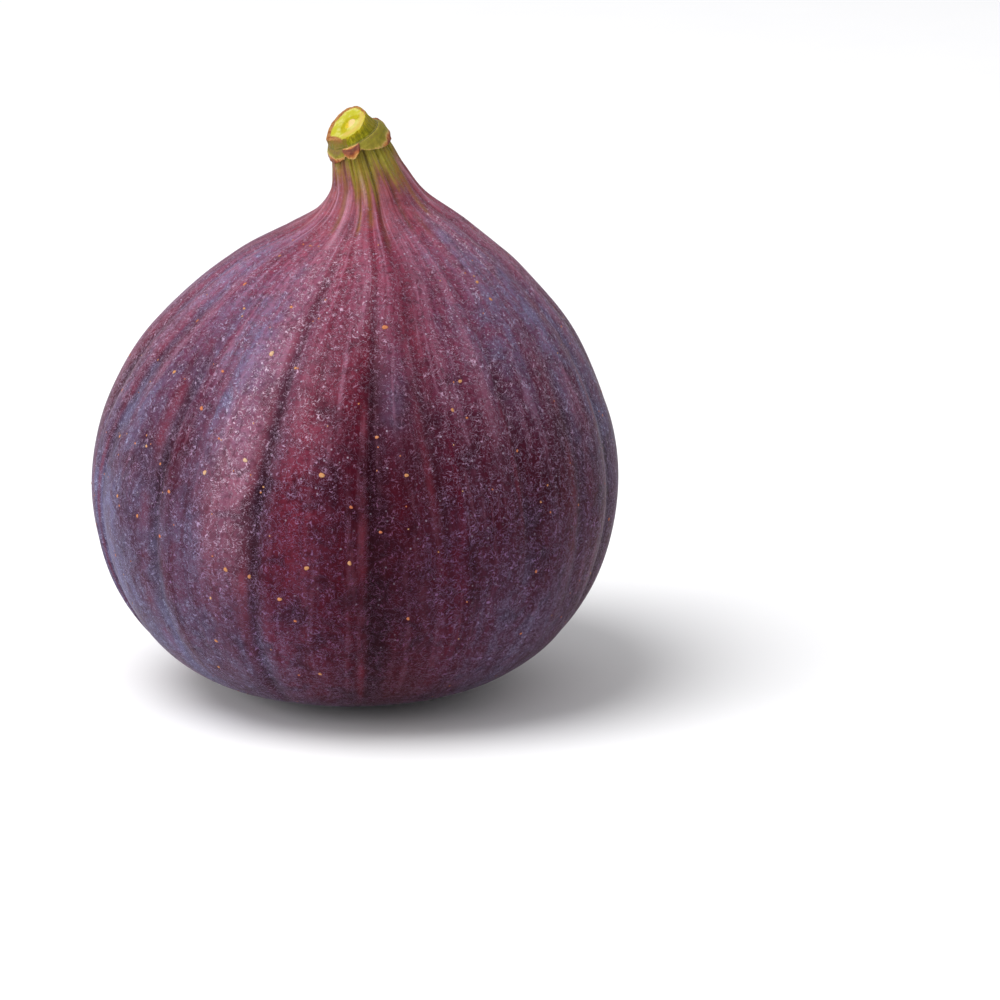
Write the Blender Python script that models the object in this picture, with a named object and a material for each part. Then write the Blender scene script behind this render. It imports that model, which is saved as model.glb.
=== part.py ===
"""A whole fresh fig, standing on the small flat spot round its eye.

Four pieces: the ribbed fruit with its neck, the cut stem on top of the neck, the bracts that grow
from the joint between them, and the small scales that close the eye underneath.

+Z is up, -Y is the front, and the origin lies on the surface that the fruit stands on, under the
middle of its belly. Sizes are in millimetres here and become metres when a mesh is made.
"""

import math
import random

import bmesh
import bpy
import numpy as np
from mathutils import Matrix, Vector

MILLIMETRE = 0.001
GAP = 0.3

# Fruit: the skin's outline as (radius, height), from the rest spot's outer edge up to the neck.
BELLY_RADIUS = 28.5
BELLY_HEIGHT = 23.8
REST_SPOT_RADIUS = 8.6
NECK_TOP_HEIGHT = 60.0
NECK_TOP_RADIUS = 2.6
SKIN_OUTLINE = (
    (REST_SPOT_RADIUS, 0.0),
    (12.4, 1.2),
    (17.6, 3.0),
    (22.5, 6.8),
    (25.9, 11.8),
    (27.9, 17.8),
    (BELLY_RADIUS, BELLY_HEIGHT),
    (27.6, 29.8),
    (25.4, 35.3),
    (22.7, 39.8),
    (19.1, 43.8),
    (15.2, 47.3),
    (10.9, 50.3),
    (6.4, 53.2),
    (4.35, 56.0),
    (3.65, 58.2),
    (3.1, 59.3),
    (NECK_TOP_RADIUS, NECK_TOP_HEIGHT),
)

# The fruit grows a little askew: (height, how far its middle stands to the right, and to the back).
CENTRE_LINE = (
    (0.0, -0.3, 0.0),
    (BELLY_HEIGHT, 0.0, 0.0),
    (35.8, 0.4, 0.0),
    (43.8, 1.05, 0.0),
    (48.0, 1.7, 0.0),
    (52.0, 1.6, 0.0),
    (56.0, 1.5, -0.2),
    (NECK_TOP_HEIGHT, 0.5, -0.45),
)
NECK_BENDS_FROM = 47.5
NECK_LEANS_LEFT = 25.0
NECK_LEANS_FORWARD = 13.0

# The eye: a shallow recess inside the rest spot, as (radius, height).
REST_SPOT_INNER_RADIUS = 5.4
EYE_RECESS = ((4.5, 0.9), (3.9, 1.9), (2.2, 2.4))
EYE_RECESS_DEPTH = 2.5

# Furrows between the ribs, round the front: (azimuth at the shoulder, azimuth at the base, depth,
# share of the outline at which it dies out). Azimuth 0 is +X and -90 is the front.
FRONT_FURROWS = (
    (-153.0, -167.0, 0.75, 0.10),
    (-134.0, -139.0, 0.60, 0.30),
    (-123.0, -126.0, 0.35, 0.55),
    (-106.0, -114.0, 0.85, 0.12),
    (-97.5, -99.0, 0.30, 0.60),
    (-86.5, -85.5, 0.70, 0.10),
    (-71.0, -71.0, 0.55, 0.35),
    (-60.0, -58.0, 0.30, 0.60),
    (-49.0, -48.0, 0.55, 0.35),
    (-31.0, -31.0, 0.60, 0.30),
    (-14.0, -15.0, 0.75, 0.15),
)
BACK_FURROWS = 11
BACK_JITTER = 2.5
BACK_DEPTHS = (0.70, 0.35, 0.60, 0.45)
BACK_REACHES = (0.12, 0.55, 0.30, 0.45)
FURROW_SEED = 4
RIB_ROUNDNESS = 0.75
DEPTH_KEPT_ON_NECK = 0.35
FURROWS_START = (0.02, 0.16)
FURROWS_DRIFT = (0.25, 0.75)
FURROW_FADE = 0.16
RIB_COLUMNS = (0.0, 0.14, 0.38, 0.62, 0.86)
BODY_ROWS = 26
NECK_ROWS = 15
NECK_STARTS = 0.78

# The joint on top of the neck, in layers: the bracts' root, then the stem's foot.
BRACT_THICKNESS = 0.6
JOINT_HEIGHT = GAP + BRACT_THICKNESS + GAP

# Stem: a short stub that tapers up from the joint and is cut off at a slant.
STEM_FOOT_RADIUS = 2.85
STEM_CUT_RADIUS = 2.35
STEM_LENGTH = 1.55
CUT_NORMAL = (-0.61, -0.30, 0.73)
CUT_RIM_RADIUS = 2.1
CUT_RINGS = ((1.25, -0.08), (1.0, -0.20), (0.80, -0.02), (0.40, 0.06))
STEM_COLUMNS = 40
STEM_ROWS = 5
STEM_STRIAE = 20
STEM_STRIA_DEPTH = 0.05

# Bracts: (azimuth of the tip round the stem, half width, length below the joint, outward lift).
BRACTS = (
    (-18.0, 62.0, 2.15, 0.15),
    (-162.0, 44.0, 1.75, 0.0),
    (-107.0, 15.0, 1.80, 0.35),
    (98.0, 60.0, 1.85, 0.15),
)
BRACT_LEAST_LENGTH = 1.4
BRACT_ROOT_INNER_RADIUS = 2.3
BRACT_ROOT_OUTER_RADIUS = 2.8
BRACT_TIP_INNER_RADIUS = 3.4
BRACT_COLUMNS = 72
BRACT_STEPS = 4

# Eye scales: whorls of small scales on a low button, as (radius, how many, height of the tips).
EYE_BUTTON_RADIUS = 3.0
EYE_BUTTON_BACK_RADIUS = 2.4
EYE_BUTTON_TOP = 2.0
EYE_BUTTON_FACE = 1.5
EYE_SCALES_LOWEST = 0.55
EYE_WHORLS = ((2.55, 9, 0.35), (1.75, 7, 0.65), (0.95, 5, 0.85))
EYE_RINGS = 10
EYE_COLUMNS = 63

FRUIT_COLOUR = (0.115, 0.030, 0.060, 1.0)
STEM_COLOUR = (0.330, 0.380, 0.050, 1.0)
BRACT_COLOUR = (0.300, 0.210, 0.060, 1.0)
EYE_COLOUR = (0.230, 0.055, 0.040, 1.0)


def smoothstep(low, high, value):
    """0 below low, 1 above high, and a smooth ramp between them."""
    share = min(1.0, max(0.0, (value - low) / (high - low)))
    return share * share * (3.0 - 2.0 * share)


def smooth_curve(stations, samples=600):
    """A Catmull-Rom curve through the stations, as points and their shares of its length."""
    knots = np.array(stations, float)
    ends = np.vstack([2 * knots[0] - knots[1], knots, 2 * knots[-1] - knots[-2]])
    points = []
    for before, start, end, after in zip(ends, ends[1:], ends[2:], ends[3:]):
        t = np.linspace(0.0, 1.0, samples // len(knots), endpoint=False)[:, None]
        points.append(
            0.5
            * (
                2 * start
                + (end - before) * t
                + (2 * before - 5 * start + 4 * end - after) * t**2
                + (3 * start - before - 3 * end + after) * t**3
            )
        )
    points = np.vstack([*points, knots[-1:]])
    lengths = np.r_[0.0, np.cumsum(np.linalg.norm(np.diff(points, axis=0), axis=1))]
    return points, lengths / lengths[-1]


def leaning(left, forward):
    """The rotation that leans +Z by these angles to the left (-X) and forward (-Y)."""
    left_turn = Matrix.Rotation(math.radians(-left), 3, "Y")
    return Matrix.Rotation(math.radians(forward), 3, "X") @ left_turn


def on_circle(radius, angle, height=0.0):
    """The point at this angle of a level circle round the Z axis."""
    return Vector((radius * math.cos(angle), radius * math.sin(angle), height))


def new_object(name, mesh, colour, roughness):
    """Shades the bmesh smooth, turns it into an object of that name and gives it its material."""
    bmesh.ops.scale(mesh, vec=(MILLIMETRE,) * 3, verts=mesh.verts)
    bmesh.ops.recalc_face_normals(mesh, faces=mesh.faces)
    data = bpy.data.meshes.new(name)
    mesh.to_mesh(data)
    mesh.free()
    data.shade_smooth()
    data.set_sharp_from_angle(angle=math.radians(40.0))
    material = bpy.data.materials.new(name)
    material.use_nodes = True
    shader = material.node_tree.nodes["Principled BSDF"]
    shader.inputs["Base Color"].default_value = colour
    shader.inputs["Roughness"].default_value = roughness
    shader.inputs["Metallic"].default_value = 0.0
    data.materials.append(material)
    made = bpy.data.objects.new(name, data)
    bpy.context.collection.objects.link(made)
    return made


def loft(mesh, rings, first_point, last_point):
    """Joins closed rings of points in order, and closes each end with a fan to its point."""
    rows = [[mesh.verts.new(point) for point in ring] for ring in rings]
    count = len(rows[0])
    for lower, upper in zip(rows, rows[1:]):
        for i in range(count):
            j = (i + 1) % count
            mesh.faces.new((lower[i], lower[j], upper[j], upper[i]))
    for point, row in ((first_point, rows[0]), (last_point, rows[-1])):
        middle = mesh.verts.new(point)
        for i in range(count):
            mesh.faces.new((row[i], row[(i + 1) % count], middle))


def all_furrows():
    """The furrows seen from the front, then those of the back, evenly placed with some jitter."""
    draw = random.Random(FURROW_SEED)
    furrows = list(FRONT_FURROWS)
    start = FRONT_FURROWS[-1][0]
    span = 360.0 + FRONT_FURROWS[0][0] - start
    for i in range(BACK_FURROWS):
        azimuth = start + span * (i + 1) / (BACK_FURROWS + 1)
        azimuth += draw.uniform(-BACK_JITTER, BACK_JITTER)
        drift = draw.uniform(-BACK_JITTER, BACK_JITTER)
        depth = BACK_DEPTHS[i % len(BACK_DEPTHS)]
        furrows.append((azimuth, azimuth + drift, depth, BACK_REACHES[i % len(BACK_REACHES)]))
    return furrows


def furrow_at(furrow, share):
    """A furrow's azimuth in degrees and its depth, at this share of the outline."""
    shoulder, base, depth, reach = furrow
    azimuth = base + (shoulder - base) * smoothstep(*FURROWS_DRIFT, share)
    fade = smoothstep(reach - FURROW_FADE, reach + FURROW_FADE, share)
    return azimuth, depth * fade * smoothstep(*FURROWS_START, share)


class Skin:
    """The fruit's surface: an outline turned about a leaning centre line, with ribs."""

    def __init__(self):
        self.outline, self.shares = smooth_curve(SKIN_OUTLINE)
        self.line, _ = smooth_curve(CENTRE_LINE)
        self.furrows = all_furrows()

    def radius_and_height(self, share):
        """The smooth outline at this share of its length."""
        radius = np.interp(share, self.shares, self.outline[:, 0])
        height = np.interp(share, self.shares, self.outline[:, 1])
        return float(radius), float(height)

    def placed(self, height, flat):
        """A point of the level ring at this height, moved and tilted with the centre line."""
        right = float(np.interp(height, self.line[:, 0], self.line[:, 1]))
        back = float(np.interp(height, self.line[:, 0], self.line[:, 2]))
        bend = smoothstep(NECK_BENDS_FROM, NECK_TOP_HEIGHT, height)
        turned = leaning(NECK_LEANS_LEFT * bend, NECK_LEANS_FORWARD * bend) @ flat
        return turned + Vector((right, back, height))

    def middle(self, height):
        """The centre line's point at this height."""
        return self.placed(height, Vector((0.0, 0.0, 0.0)))

    def ring(self, share):
        """The points round the skin at this share, a few for each rib."""
        radius, height = self.radius_and_height(share)
        on_neck = DEPTH_KEPT_ON_NECK + (1.0 - DEPTH_KEPT_ON_NECK) * radius / BELLY_RADIUS
        placed_furrows = [furrow_at(furrow, share) for furrow in self.furrows]
        azimuth, depth = placed_furrows[0]
        placed_furrows.append((azimuth + 360.0, depth))
        points = []
        for (start, start_depth), (end, end_depth) in zip(placed_furrows, placed_furrows[1:]):
            for u in RIB_COLUMNS:
                angle = math.radians(start + (end - start) * u)
                depth = start_depth + (end_depth - start_depth) * u
                crease = 1.0 - math.sin(math.pi * u) ** RIB_ROUNDNESS
                out = radius - depth * on_neck * crease
                points.append(self.placed(height, on_circle(out, angle)))
        return points

    def level_ring(self, radius, height):
        """A plain circle under the fruit, with the columns of the first ring of skin."""
        middle = self.middle(0.0)
        rise = Vector((0.0, 0.0, height))
        return [middle + (point - middle).normalized() * radius + rise for point in self.ring(0.0)]


class Joint:
    """The slanting plane on top of the neck that the bracts and the stem grow from."""

    def __init__(self, skin):
        self.middle = skin.middle(NECK_TOP_HEIGHT)
        self.turn = leaning(NECK_LEANS_LEFT, NECK_LEANS_FORWARD)
        self.axis = self.turn @ Vector((0.0, 0.0, 1.0))

    def point(self, radius, angle, height):
        """A point by its radius, angle and height over the neck's top."""
        return self.middle + self.turn @ on_circle(radius, angle, height)


def make_fruit(skin):
    """The fruit in one solid: eye recess, flat rest spot, ribbed body and neck."""
    body = np.linspace(0.0, NECK_STARTS, BODY_ROWS, endpoint=False)
    neck = np.linspace(NECK_STARTS, 1.0, NECK_ROWS)
    rings = [skin.level_ring(radius, height) for radius, height in reversed(EYE_RECESS)]
    rings.append(skin.level_ring(REST_SPOT_INNER_RADIUS, 0.0))
    rings += [skin.ring(share) for share in (*body, *neck)]
    eye = skin.middle(0.0) + Vector((0.0, 0.0, EYE_RECESS_DEPTH))
    mesh = bmesh.new()
    loft(mesh, rings, eye, skin.middle(NECK_TOP_HEIGHT))
    return new_object("fruit", mesh, FRUIT_COLOUR, roughness=0.55)


def make_stem(skin):
    """The stub of stem, striped along its length, with a rim, a groove and the pith on its cut."""
    joint = Joint(skin)
    normal = Vector(CUT_NORMAL).normalized()
    foot = joint.point(0.0, 0.0, JOINT_HEIGHT)
    cut = foot + joint.axis * STEM_LENGTH
    rings = []
    for row in range(STEM_ROWS):
        share = row / (STEM_ROWS - 1)
        ring = []
        for column in range(STEM_COLUMNS):
            angle = 2.0 * math.pi * column / STEM_COLUMNS
            stria = STEM_STRIA_DEPTH * (1.0 - math.cos(STEM_STRIAE * angle)) / 2.0
            low = joint.point(STEM_FOOT_RADIUS - stria, angle, JOINT_HEIGHT)
            across = joint.turn @ on_circle(STEM_CUT_RADIUS - stria, angle)
            high = cut + across - joint.axis * (across.dot(normal) / joint.axis.dot(normal))
            ring.append(low.lerp(high, share))
        rings.append(ring)
    rim = rings[-1]
    for radius, rise in ((CUT_RIM_RADIUS, 0.0), *CUT_RINGS):
        rings.append([cut.lerp(point, radius / STEM_CUT_RADIUS) + normal * rise for point in rim])
    mesh = bmesh.new()
    loft(mesh, rings, foot, cut + normal * CUT_RINGS[-1][1])
    return new_object("stem", mesh, STEM_COLOUR, roughness=0.45)


def bract_reach(azimuth):
    """How far the bracts reach below the joint at this azimuth, and how far they are lifted."""
    reach, lift = BRACT_LEAST_LENGTH, 0.0
    for tip, half_width, length, tip_lift in BRACTS:
        away = abs((azimuth - tip + 180.0) % 360.0 - 180.0) / half_width
        if away < 1.0:
            rounded = math.sqrt(1.0 - away**2.5)
            reach = max(reach, BRACT_LEAST_LENGTH + (length - BRACT_LEAST_LENGTH) * rounded)
            lift = max(lift, tip_lift * rounded)
    return reach, lift


def make_bracts(skin):
    """The bracts, grown together at their root and hanging over the neck's top like a skirt."""
    joint = Joint(skin)
    root_top = GAP + BRACT_THICKNESS
    outside = [[] for _ in range(BRACT_STEPS + 1)]
    inside = [[] for _ in range(BRACT_STEPS + 1)]
    for column in range(BRACT_COLUMNS):
        azimuth = 360.0 * column / BRACT_COLUMNS
        angle = math.radians(azimuth)
        reach, lift = bract_reach(azimuth)
        tip_height = JOINT_HEIGHT - reach
        tip_inner = BRACT_TIP_INNER_RADIUS + lift
        tip_outer = tip_inner + BRACT_THICKNESS
        for step in range(BRACT_STEPS + 1):
            turn = math.pi / 2.0 * step / BRACT_STEPS
            out, down = math.sin(turn), 1.0 - math.cos(turn)
            outer = BRACT_ROOT_OUTER_RADIUS + (tip_outer - BRACT_ROOT_OUTER_RADIUS) * out
            inner = BRACT_ROOT_INNER_RADIUS + (tip_inner - BRACT_ROOT_INNER_RADIUS) * out
            outside[step].append(joint.point(outer, angle, root_top + (tip_height - root_top) * down))
            inside[step].append(joint.point(inner, angle, GAP + (tip_height - GAP) * down))
    mesh = bmesh.new()
    top, bottom = joint.point(0.0, 0.0, root_top), joint.point(0.0, 0.0, GAP)
    loft(mesh, [*outside, *reversed(inside)], top, bottom)
    return new_object("bracts", mesh, BRACT_COLOUR, roughness=0.7)


def scale_height(radius, angle):
    """How far the scales stand out from the eye's button here: the highest whorl wins."""
    height = 0.0
    for number, (whorl_radius, count, tip_height) in enumerate(EYE_WHORLS):
        turn = angle * count / (2.0 * math.pi) + 0.5 * number
        across = abs(turn - round(turn)) * 2.0
        outline = whorl_radius * (1.0 - 0.35 * across**2)
        if radius <= outline:
            rise = (1.0 - 0.4 * across**2) * (0.6 + 0.4 * radius / outline)
            height = max(height, tip_height * rise)
    return height


def make_eye_scales(skin):
    """The scales that close the eye, raised by a formula from the button that they grow on."""
    middle = skin.middle(0.0)
    angles = [2.0 * math.pi * column / EYE_COLUMNS for column in range(EYE_COLUMNS)]
    rings = [[middle + on_circle(EYE_BUTTON_BACK_RADIUS, angle, EYE_BUTTON_TOP) for angle in angles]]
    for number in range(EYE_RINGS, 0, -1):
        radius = EYE_BUTTON_RADIUS * number / EYE_RINGS
        heights = [EYE_BUTTON_FACE - scale_height(radius, angle) for angle in angles]
        rings.append([middle + on_circle(radius, *place) for place in zip(angles, heights)])
    lowest = middle + Vector((0.0, 0.0, EYE_SCALES_LOWEST))
    highest = middle + Vector((0.0, 0.0, EYE_BUTTON_TOP))
    mesh = bmesh.new()
    loft(mesh, rings, highest, lowest)
    return new_object("eye_scales", mesh, EYE_COLOUR, roughness=0.8)


def main():
    for old in list(bpy.data.objects):
        bpy.data.objects.remove(old)
    skin = Skin()
    whole = bpy.data.objects.new("fig", None)
    bpy.context.collection.objects.link(whole)
    for make in (make_fruit, make_stem, make_bracts, make_eye_scales):
        make(skin).parent = whole


main()
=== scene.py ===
"""A whole fresh fig, dressed: its ribbed skin, cut stem, dry bracts and the scales under its eye.

Lengths are in millimetres and azimuths in degrees, from +X with the front at -90, until a mesh is
made in metres. A share is a place along the fruit's outline, from 0 at the rest spot to 1 at the top
of the neck.
"""

from __future__ import annotations

import logging
import math
from collections.abc import Sequence
from dataclasses import dataclass, field
from enum import Enum

import bmesh
import bpy
import numpy as np
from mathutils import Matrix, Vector


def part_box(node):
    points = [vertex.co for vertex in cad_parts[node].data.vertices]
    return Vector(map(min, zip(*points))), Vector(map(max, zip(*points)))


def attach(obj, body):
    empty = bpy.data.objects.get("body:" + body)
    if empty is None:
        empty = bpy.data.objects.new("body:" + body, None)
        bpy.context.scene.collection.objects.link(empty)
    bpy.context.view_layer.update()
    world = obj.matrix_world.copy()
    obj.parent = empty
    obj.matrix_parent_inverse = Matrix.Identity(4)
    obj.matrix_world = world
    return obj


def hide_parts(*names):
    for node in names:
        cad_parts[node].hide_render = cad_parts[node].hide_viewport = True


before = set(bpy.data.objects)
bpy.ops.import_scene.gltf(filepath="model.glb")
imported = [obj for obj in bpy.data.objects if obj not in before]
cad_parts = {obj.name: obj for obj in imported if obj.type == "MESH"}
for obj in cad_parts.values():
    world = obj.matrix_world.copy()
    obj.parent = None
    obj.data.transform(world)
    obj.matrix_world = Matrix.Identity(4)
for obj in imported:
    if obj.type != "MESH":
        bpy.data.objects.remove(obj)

log = logging.getLogger("fig")

Paint = tuple[int, int, int]
Stops = tuple[tuple[float, Paint], ...]
Table = tuple[tuple[float, ...], ...]
Reals = np.ndarray | float
Fields = dict[str, np.ndarray]
Ring = tuple[np.ndarray, Fields]
Socket = bpy.types.NodeSocket

# How wide the fruit of FruitForm is along X, set against the solid's width to scale every piece.
FORM_WIDTH = 56.86


class Tone(Enum):
    """The tones of the thin lines on the neck."""

    GOLD = "gold"
    DUSK = "dusk"
    PALE = "pale"


class Slot(Enum):
    """The record's material slots."""

    SKIN = "skin"
    STEM = "stem"
    BRACTS = "bracts"
    EYE_SCALES = "eye_scales"


def smoothstep(low: float, high: float, value: Reals) -> np.ndarray:
    """A smooth ramp from 0 at low to 1 at high, level beyond them. Either one can be the larger."""
    share = np.clip((np.asarray(value, float) - low) / (high - low), 0.0, 1.0)
    return share * share * (3.0 - 2.0 * share)


def bell(offset: Reals, width: float) -> np.ndarray:
    """1 where the offset is 0, and less the more widths away it is."""
    return np.exp(-((offset / width) ** 2))


def smooth_curve(stations: Table, steps: int = 40) -> tuple[np.ndarray, np.ndarray]:
    """A Catmull-Rom curve through stations.

    Args:
        stations: the points that the curve goes through.
        steps: how many pieces lie between two stations.

    Returns:
        The curve's points, and each one's share of the curve's length.
    """
    knots = np.array(stations, float)
    ends = np.vstack([2 * knots[0] - knots[1], knots, 2 * knots[-1] - knots[-2]])
    t = np.linspace(0.0, 1.0, steps, endpoint=False)[:, None]
    points = [
        0.5
        * (
            2 * start
            + (end - before) * t
            + (2 * before - 5 * start + 4 * end - after) * t**2
            + (3 * start - before - 3 * end + after) * t**3
        )
        for before, start, end, after in zip(ends, ends[1:], ends[2:], ends[3:])
    ]
    curve = np.vstack([*points, knots[-1:]])
    lengths = np.r_[0.0, np.cumsum(np.linalg.norm(np.diff(curve, axis=0), axis=1))]
    return curve, lengths / lengths[-1]


def leaned(flat: np.ndarray, left: Reals, forward: Reals) -> np.ndarray:
    """Points leaned over to the left (-X) and then forward (-Y).

    Args:
        flat: the points, with their three coordinates last.
        left: the lean to the left in degrees.
        forward: the lean forward in degrees.

    Returns:
        The turned points.
    """
    x, y, z = flat[..., 0], flat[..., 1], flat[..., 2]
    sin_left, cos_left = np.sin(np.radians(left)), np.cos(np.radians(left))
    sin_forward, cos_forward = np.sin(np.radians(forward)), np.cos(np.radians(forward))
    across = x * cos_left - z * sin_left
    up = x * sin_left + z * cos_left
    turned = (across, y * cos_forward - up * sin_forward, y * sin_forward + up * cos_forward)
    return np.stack(turned, axis=-1)


def on_circle(radius: Reals, azimuth: Reals, height: Reals) -> np.ndarray:
    """Points round the Z axis by radius, azimuth and height."""
    angle = np.radians(azimuth)
    return np.stack(np.broadcast_arrays(radius * np.cos(angle), radius * np.sin(angle), height), axis=-1)


def streak_place(turn: np.ndarray, along: float) -> np.ndarray:
    """Where streaks are read: on a circle by the turn in radians, and slowly along it."""
    return np.stack([np.cos(turn), np.sin(turn), np.full_like(turn, along)], axis=-1)


def apart(azimuth: Reals, other: float) -> np.ndarray:
    """The signed angle from the other azimuth to this one, between -180 and 180."""
    return (np.asarray(azimuth, float) - other + 180.0) % 360.0 - 180.0


def toward(low: float, high: float, azimuth: np.ndarray, side: float) -> np.ndarray:
    """1 where an azimuth faces a side and 0 where it turns away, by the cosine between them."""
    return smoothstep(low, high, np.cos(np.radians(apart(azimuth, side))))


def stacked(rows: Sequence[Fields]) -> Fields:
    """The fields of each ring as one set of fields for all the rings."""
    return {name: np.stack([row[name] for row in rows]) for name in rows[0]}


def linear(paint: Paint) -> tuple[float, float, float, float]:
    """A colour of 0 to 255 a channel, as the shader's linear values."""
    shares = [channel / 255.0 for channel in paint]
    return (*(s / 12.92 if s <= 0.04045 else ((s + 0.055) / 1.055) ** 2.4 for s in shares), 1.0)


class Graph:
    """A material's nodes, with a short method for each kind that the finishes use."""

    def __init__(self, name: str) -> None:
        """Starts a material of that name with a plain shader."""
        self.material = bpy.data.materials.new(name)
        self.material.use_nodes = True
        self.tree = self.material.node_tree
        self.shader = self.tree.nodes["Principled BSDF"]

    def feed(self, socket: Socket, value: object) -> None:
        """Links a socket to another one's output, or sets its value."""
        if isinstance(value, Socket):
            self.tree.links.new(value, socket)
        else:
            socket.default_value = value

    def add(self, kind: str, **settings: object) -> bpy.types.Node:
        """A new node of that kind with these settings."""
        made = self.tree.nodes.new(kind)
        for name, value in settings.items():
            setattr(made, name, value)
        return made

    def surface(self, **sockets: object) -> bpy.types.Material:
        """The material, once the shader's sockets of these names are fed, with _ for a space."""
        for name, value in sockets.items():
            self.feed(self.shader.inputs[name.replace("_", " ")], value)
        return self.material

    def place(self) -> Socket:
        """The point in the object's own space, in metres."""
        return self.add("ShaderNodeTexCoord").outputs["Object"]

    def field(self, name: str, output: str = "Fac") -> Socket:
        """A value, or with output Vector a vector, that the mesh carries at its points."""
        return self.add("ShaderNodeAttribute", attribute_name=name).outputs[output]

    def noise(self, where: Socket, scale: float, detail: float = 2.0, bend: float = 0.0) -> Socket:
        """Soft noise from 0 to 1.

        Args:
            where: the point that it is read at.
            scale: how many cells lie in one unit of where.
            detail: how many finer layers are added.
            bend: how far it is warped by itself.

        Returns:
            The noise's value.
        """
        made = self.add("ShaderNodeTexNoise")
        for name, value in (("Vector", where), ("Scale", scale), ("Detail", detail), ("Distortion", bend)):
            self.feed(made.inputs[name], value)
        return made.outputs["Fac"]

    def cells(self, where: Socket, scale: float) -> tuple[Socket, Socket]:
        """Scattered points: the distance to the nearest in cells, and its own random number.

        Args:
            where: the point that they are read at.
            scale: how many cells lie in one unit of where.

        Returns:
            The distance, and the random number from 0 to 1.
        """
        made = self.add("ShaderNodeTexVoronoi")
        self.feed(made.inputs["Vector"], where)
        self.feed(made.inputs["Scale"], scale)
        split = self.add("ShaderNodeSeparateColor")
        self.feed(split.inputs[0], made.outputs["Color"])
        return made.outputs["Distance"], split.outputs[0]

    def math(self, operation: str, *values: object) -> Socket:
        """The result of a Math node's operation on these values."""
        made = self.add("ShaderNodeMath", operation=operation)
        for socket, value in zip(made.inputs, values):
            self.feed(socket, value)
        return made.outputs[0]

    def times(self, first: object, *others: object) -> Socket:
        """The product of these values."""
        for other in others:
            first = self.math("MULTIPLY", first, other)
        return first

    def plus(self, first: object, second: object) -> Socket:
        """The sum of two values."""
        return self.math("ADD", first, second)

    def ease(self, value: Socket, low: float, high: float, start: float = 0.0, end: float = 1.0) -> Socket:
        """A smooth ramp of a value.

        Args:
            value: the value that is read.
            low: where the ramp begins.
            high: where it ends.
            start: what it gives at low and on its far side.
            end: what it gives at high and on its far side.

        Returns:
            The ramp's value.
        """
        made = self.add("ShaderNodeMapRange", interpolation_type="SMOOTHSTEP")
        for socket, number in zip(made.inputs, (value, low, high, start, end)):
            self.feed(socket, number)
        return made.outputs[0]

    def coated(self, under: object, *coats: tuple[object, ...]) -> Socket:
        """A colour with coats of paint on it.

        Args:
            under: the colour underneath, as a socket or a paint.
            coats: from the lowest up, each coat's colour, then the values whose product says how much of
                it shows.

        Returns:
            The colour with its coats.
        """
        for paint, *shares in coats:
            made = self.add("ShaderNodeMix", data_type="RGBA")
            self.feed(made.inputs[0], self.times(*shares))
            for socket, colour in ((made.inputs[6], under), (made.inputs[7], paint)):
                self.feed(socket, linear(colour) if isinstance(colour, tuple) else colour)
            under = made.outputs[2]
        return under

    def ramp(self, value: Socket, stops: Stops) -> Socket:
        """The colour at a value between stops of (place, colour)."""
        made = self.add("ShaderNodeValToRGB")
        elements = made.color_ramp.elements
        while len(elements) < len(stops):
            elements.new(0.5)
        for element, (place, paint) in zip(elements, stops):
            element.position = place
            element.color = linear(paint)
        self.feed(made.inputs[0], value)
        return made.outputs[0]

    def bump(self, height: object, depth: float, below: object = None) -> Socket:
        """A surface normal raised by a height.

        Args:
            height: the height, from 0 to 1.
            depth: how many millimetres a height of 1 stands for.
            below: the normal that this one is added to.

        Returns:
            The new normal.
        """
        made = self.add("ShaderNodeBump")
        self.feed(made.inputs["Distance"], depth * 0.001)
        self.feed(made.inputs["Height"], height)
        if below is not None:
            self.feed(made.inputs["Normal"], below)
        return made.outputs[0]


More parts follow.
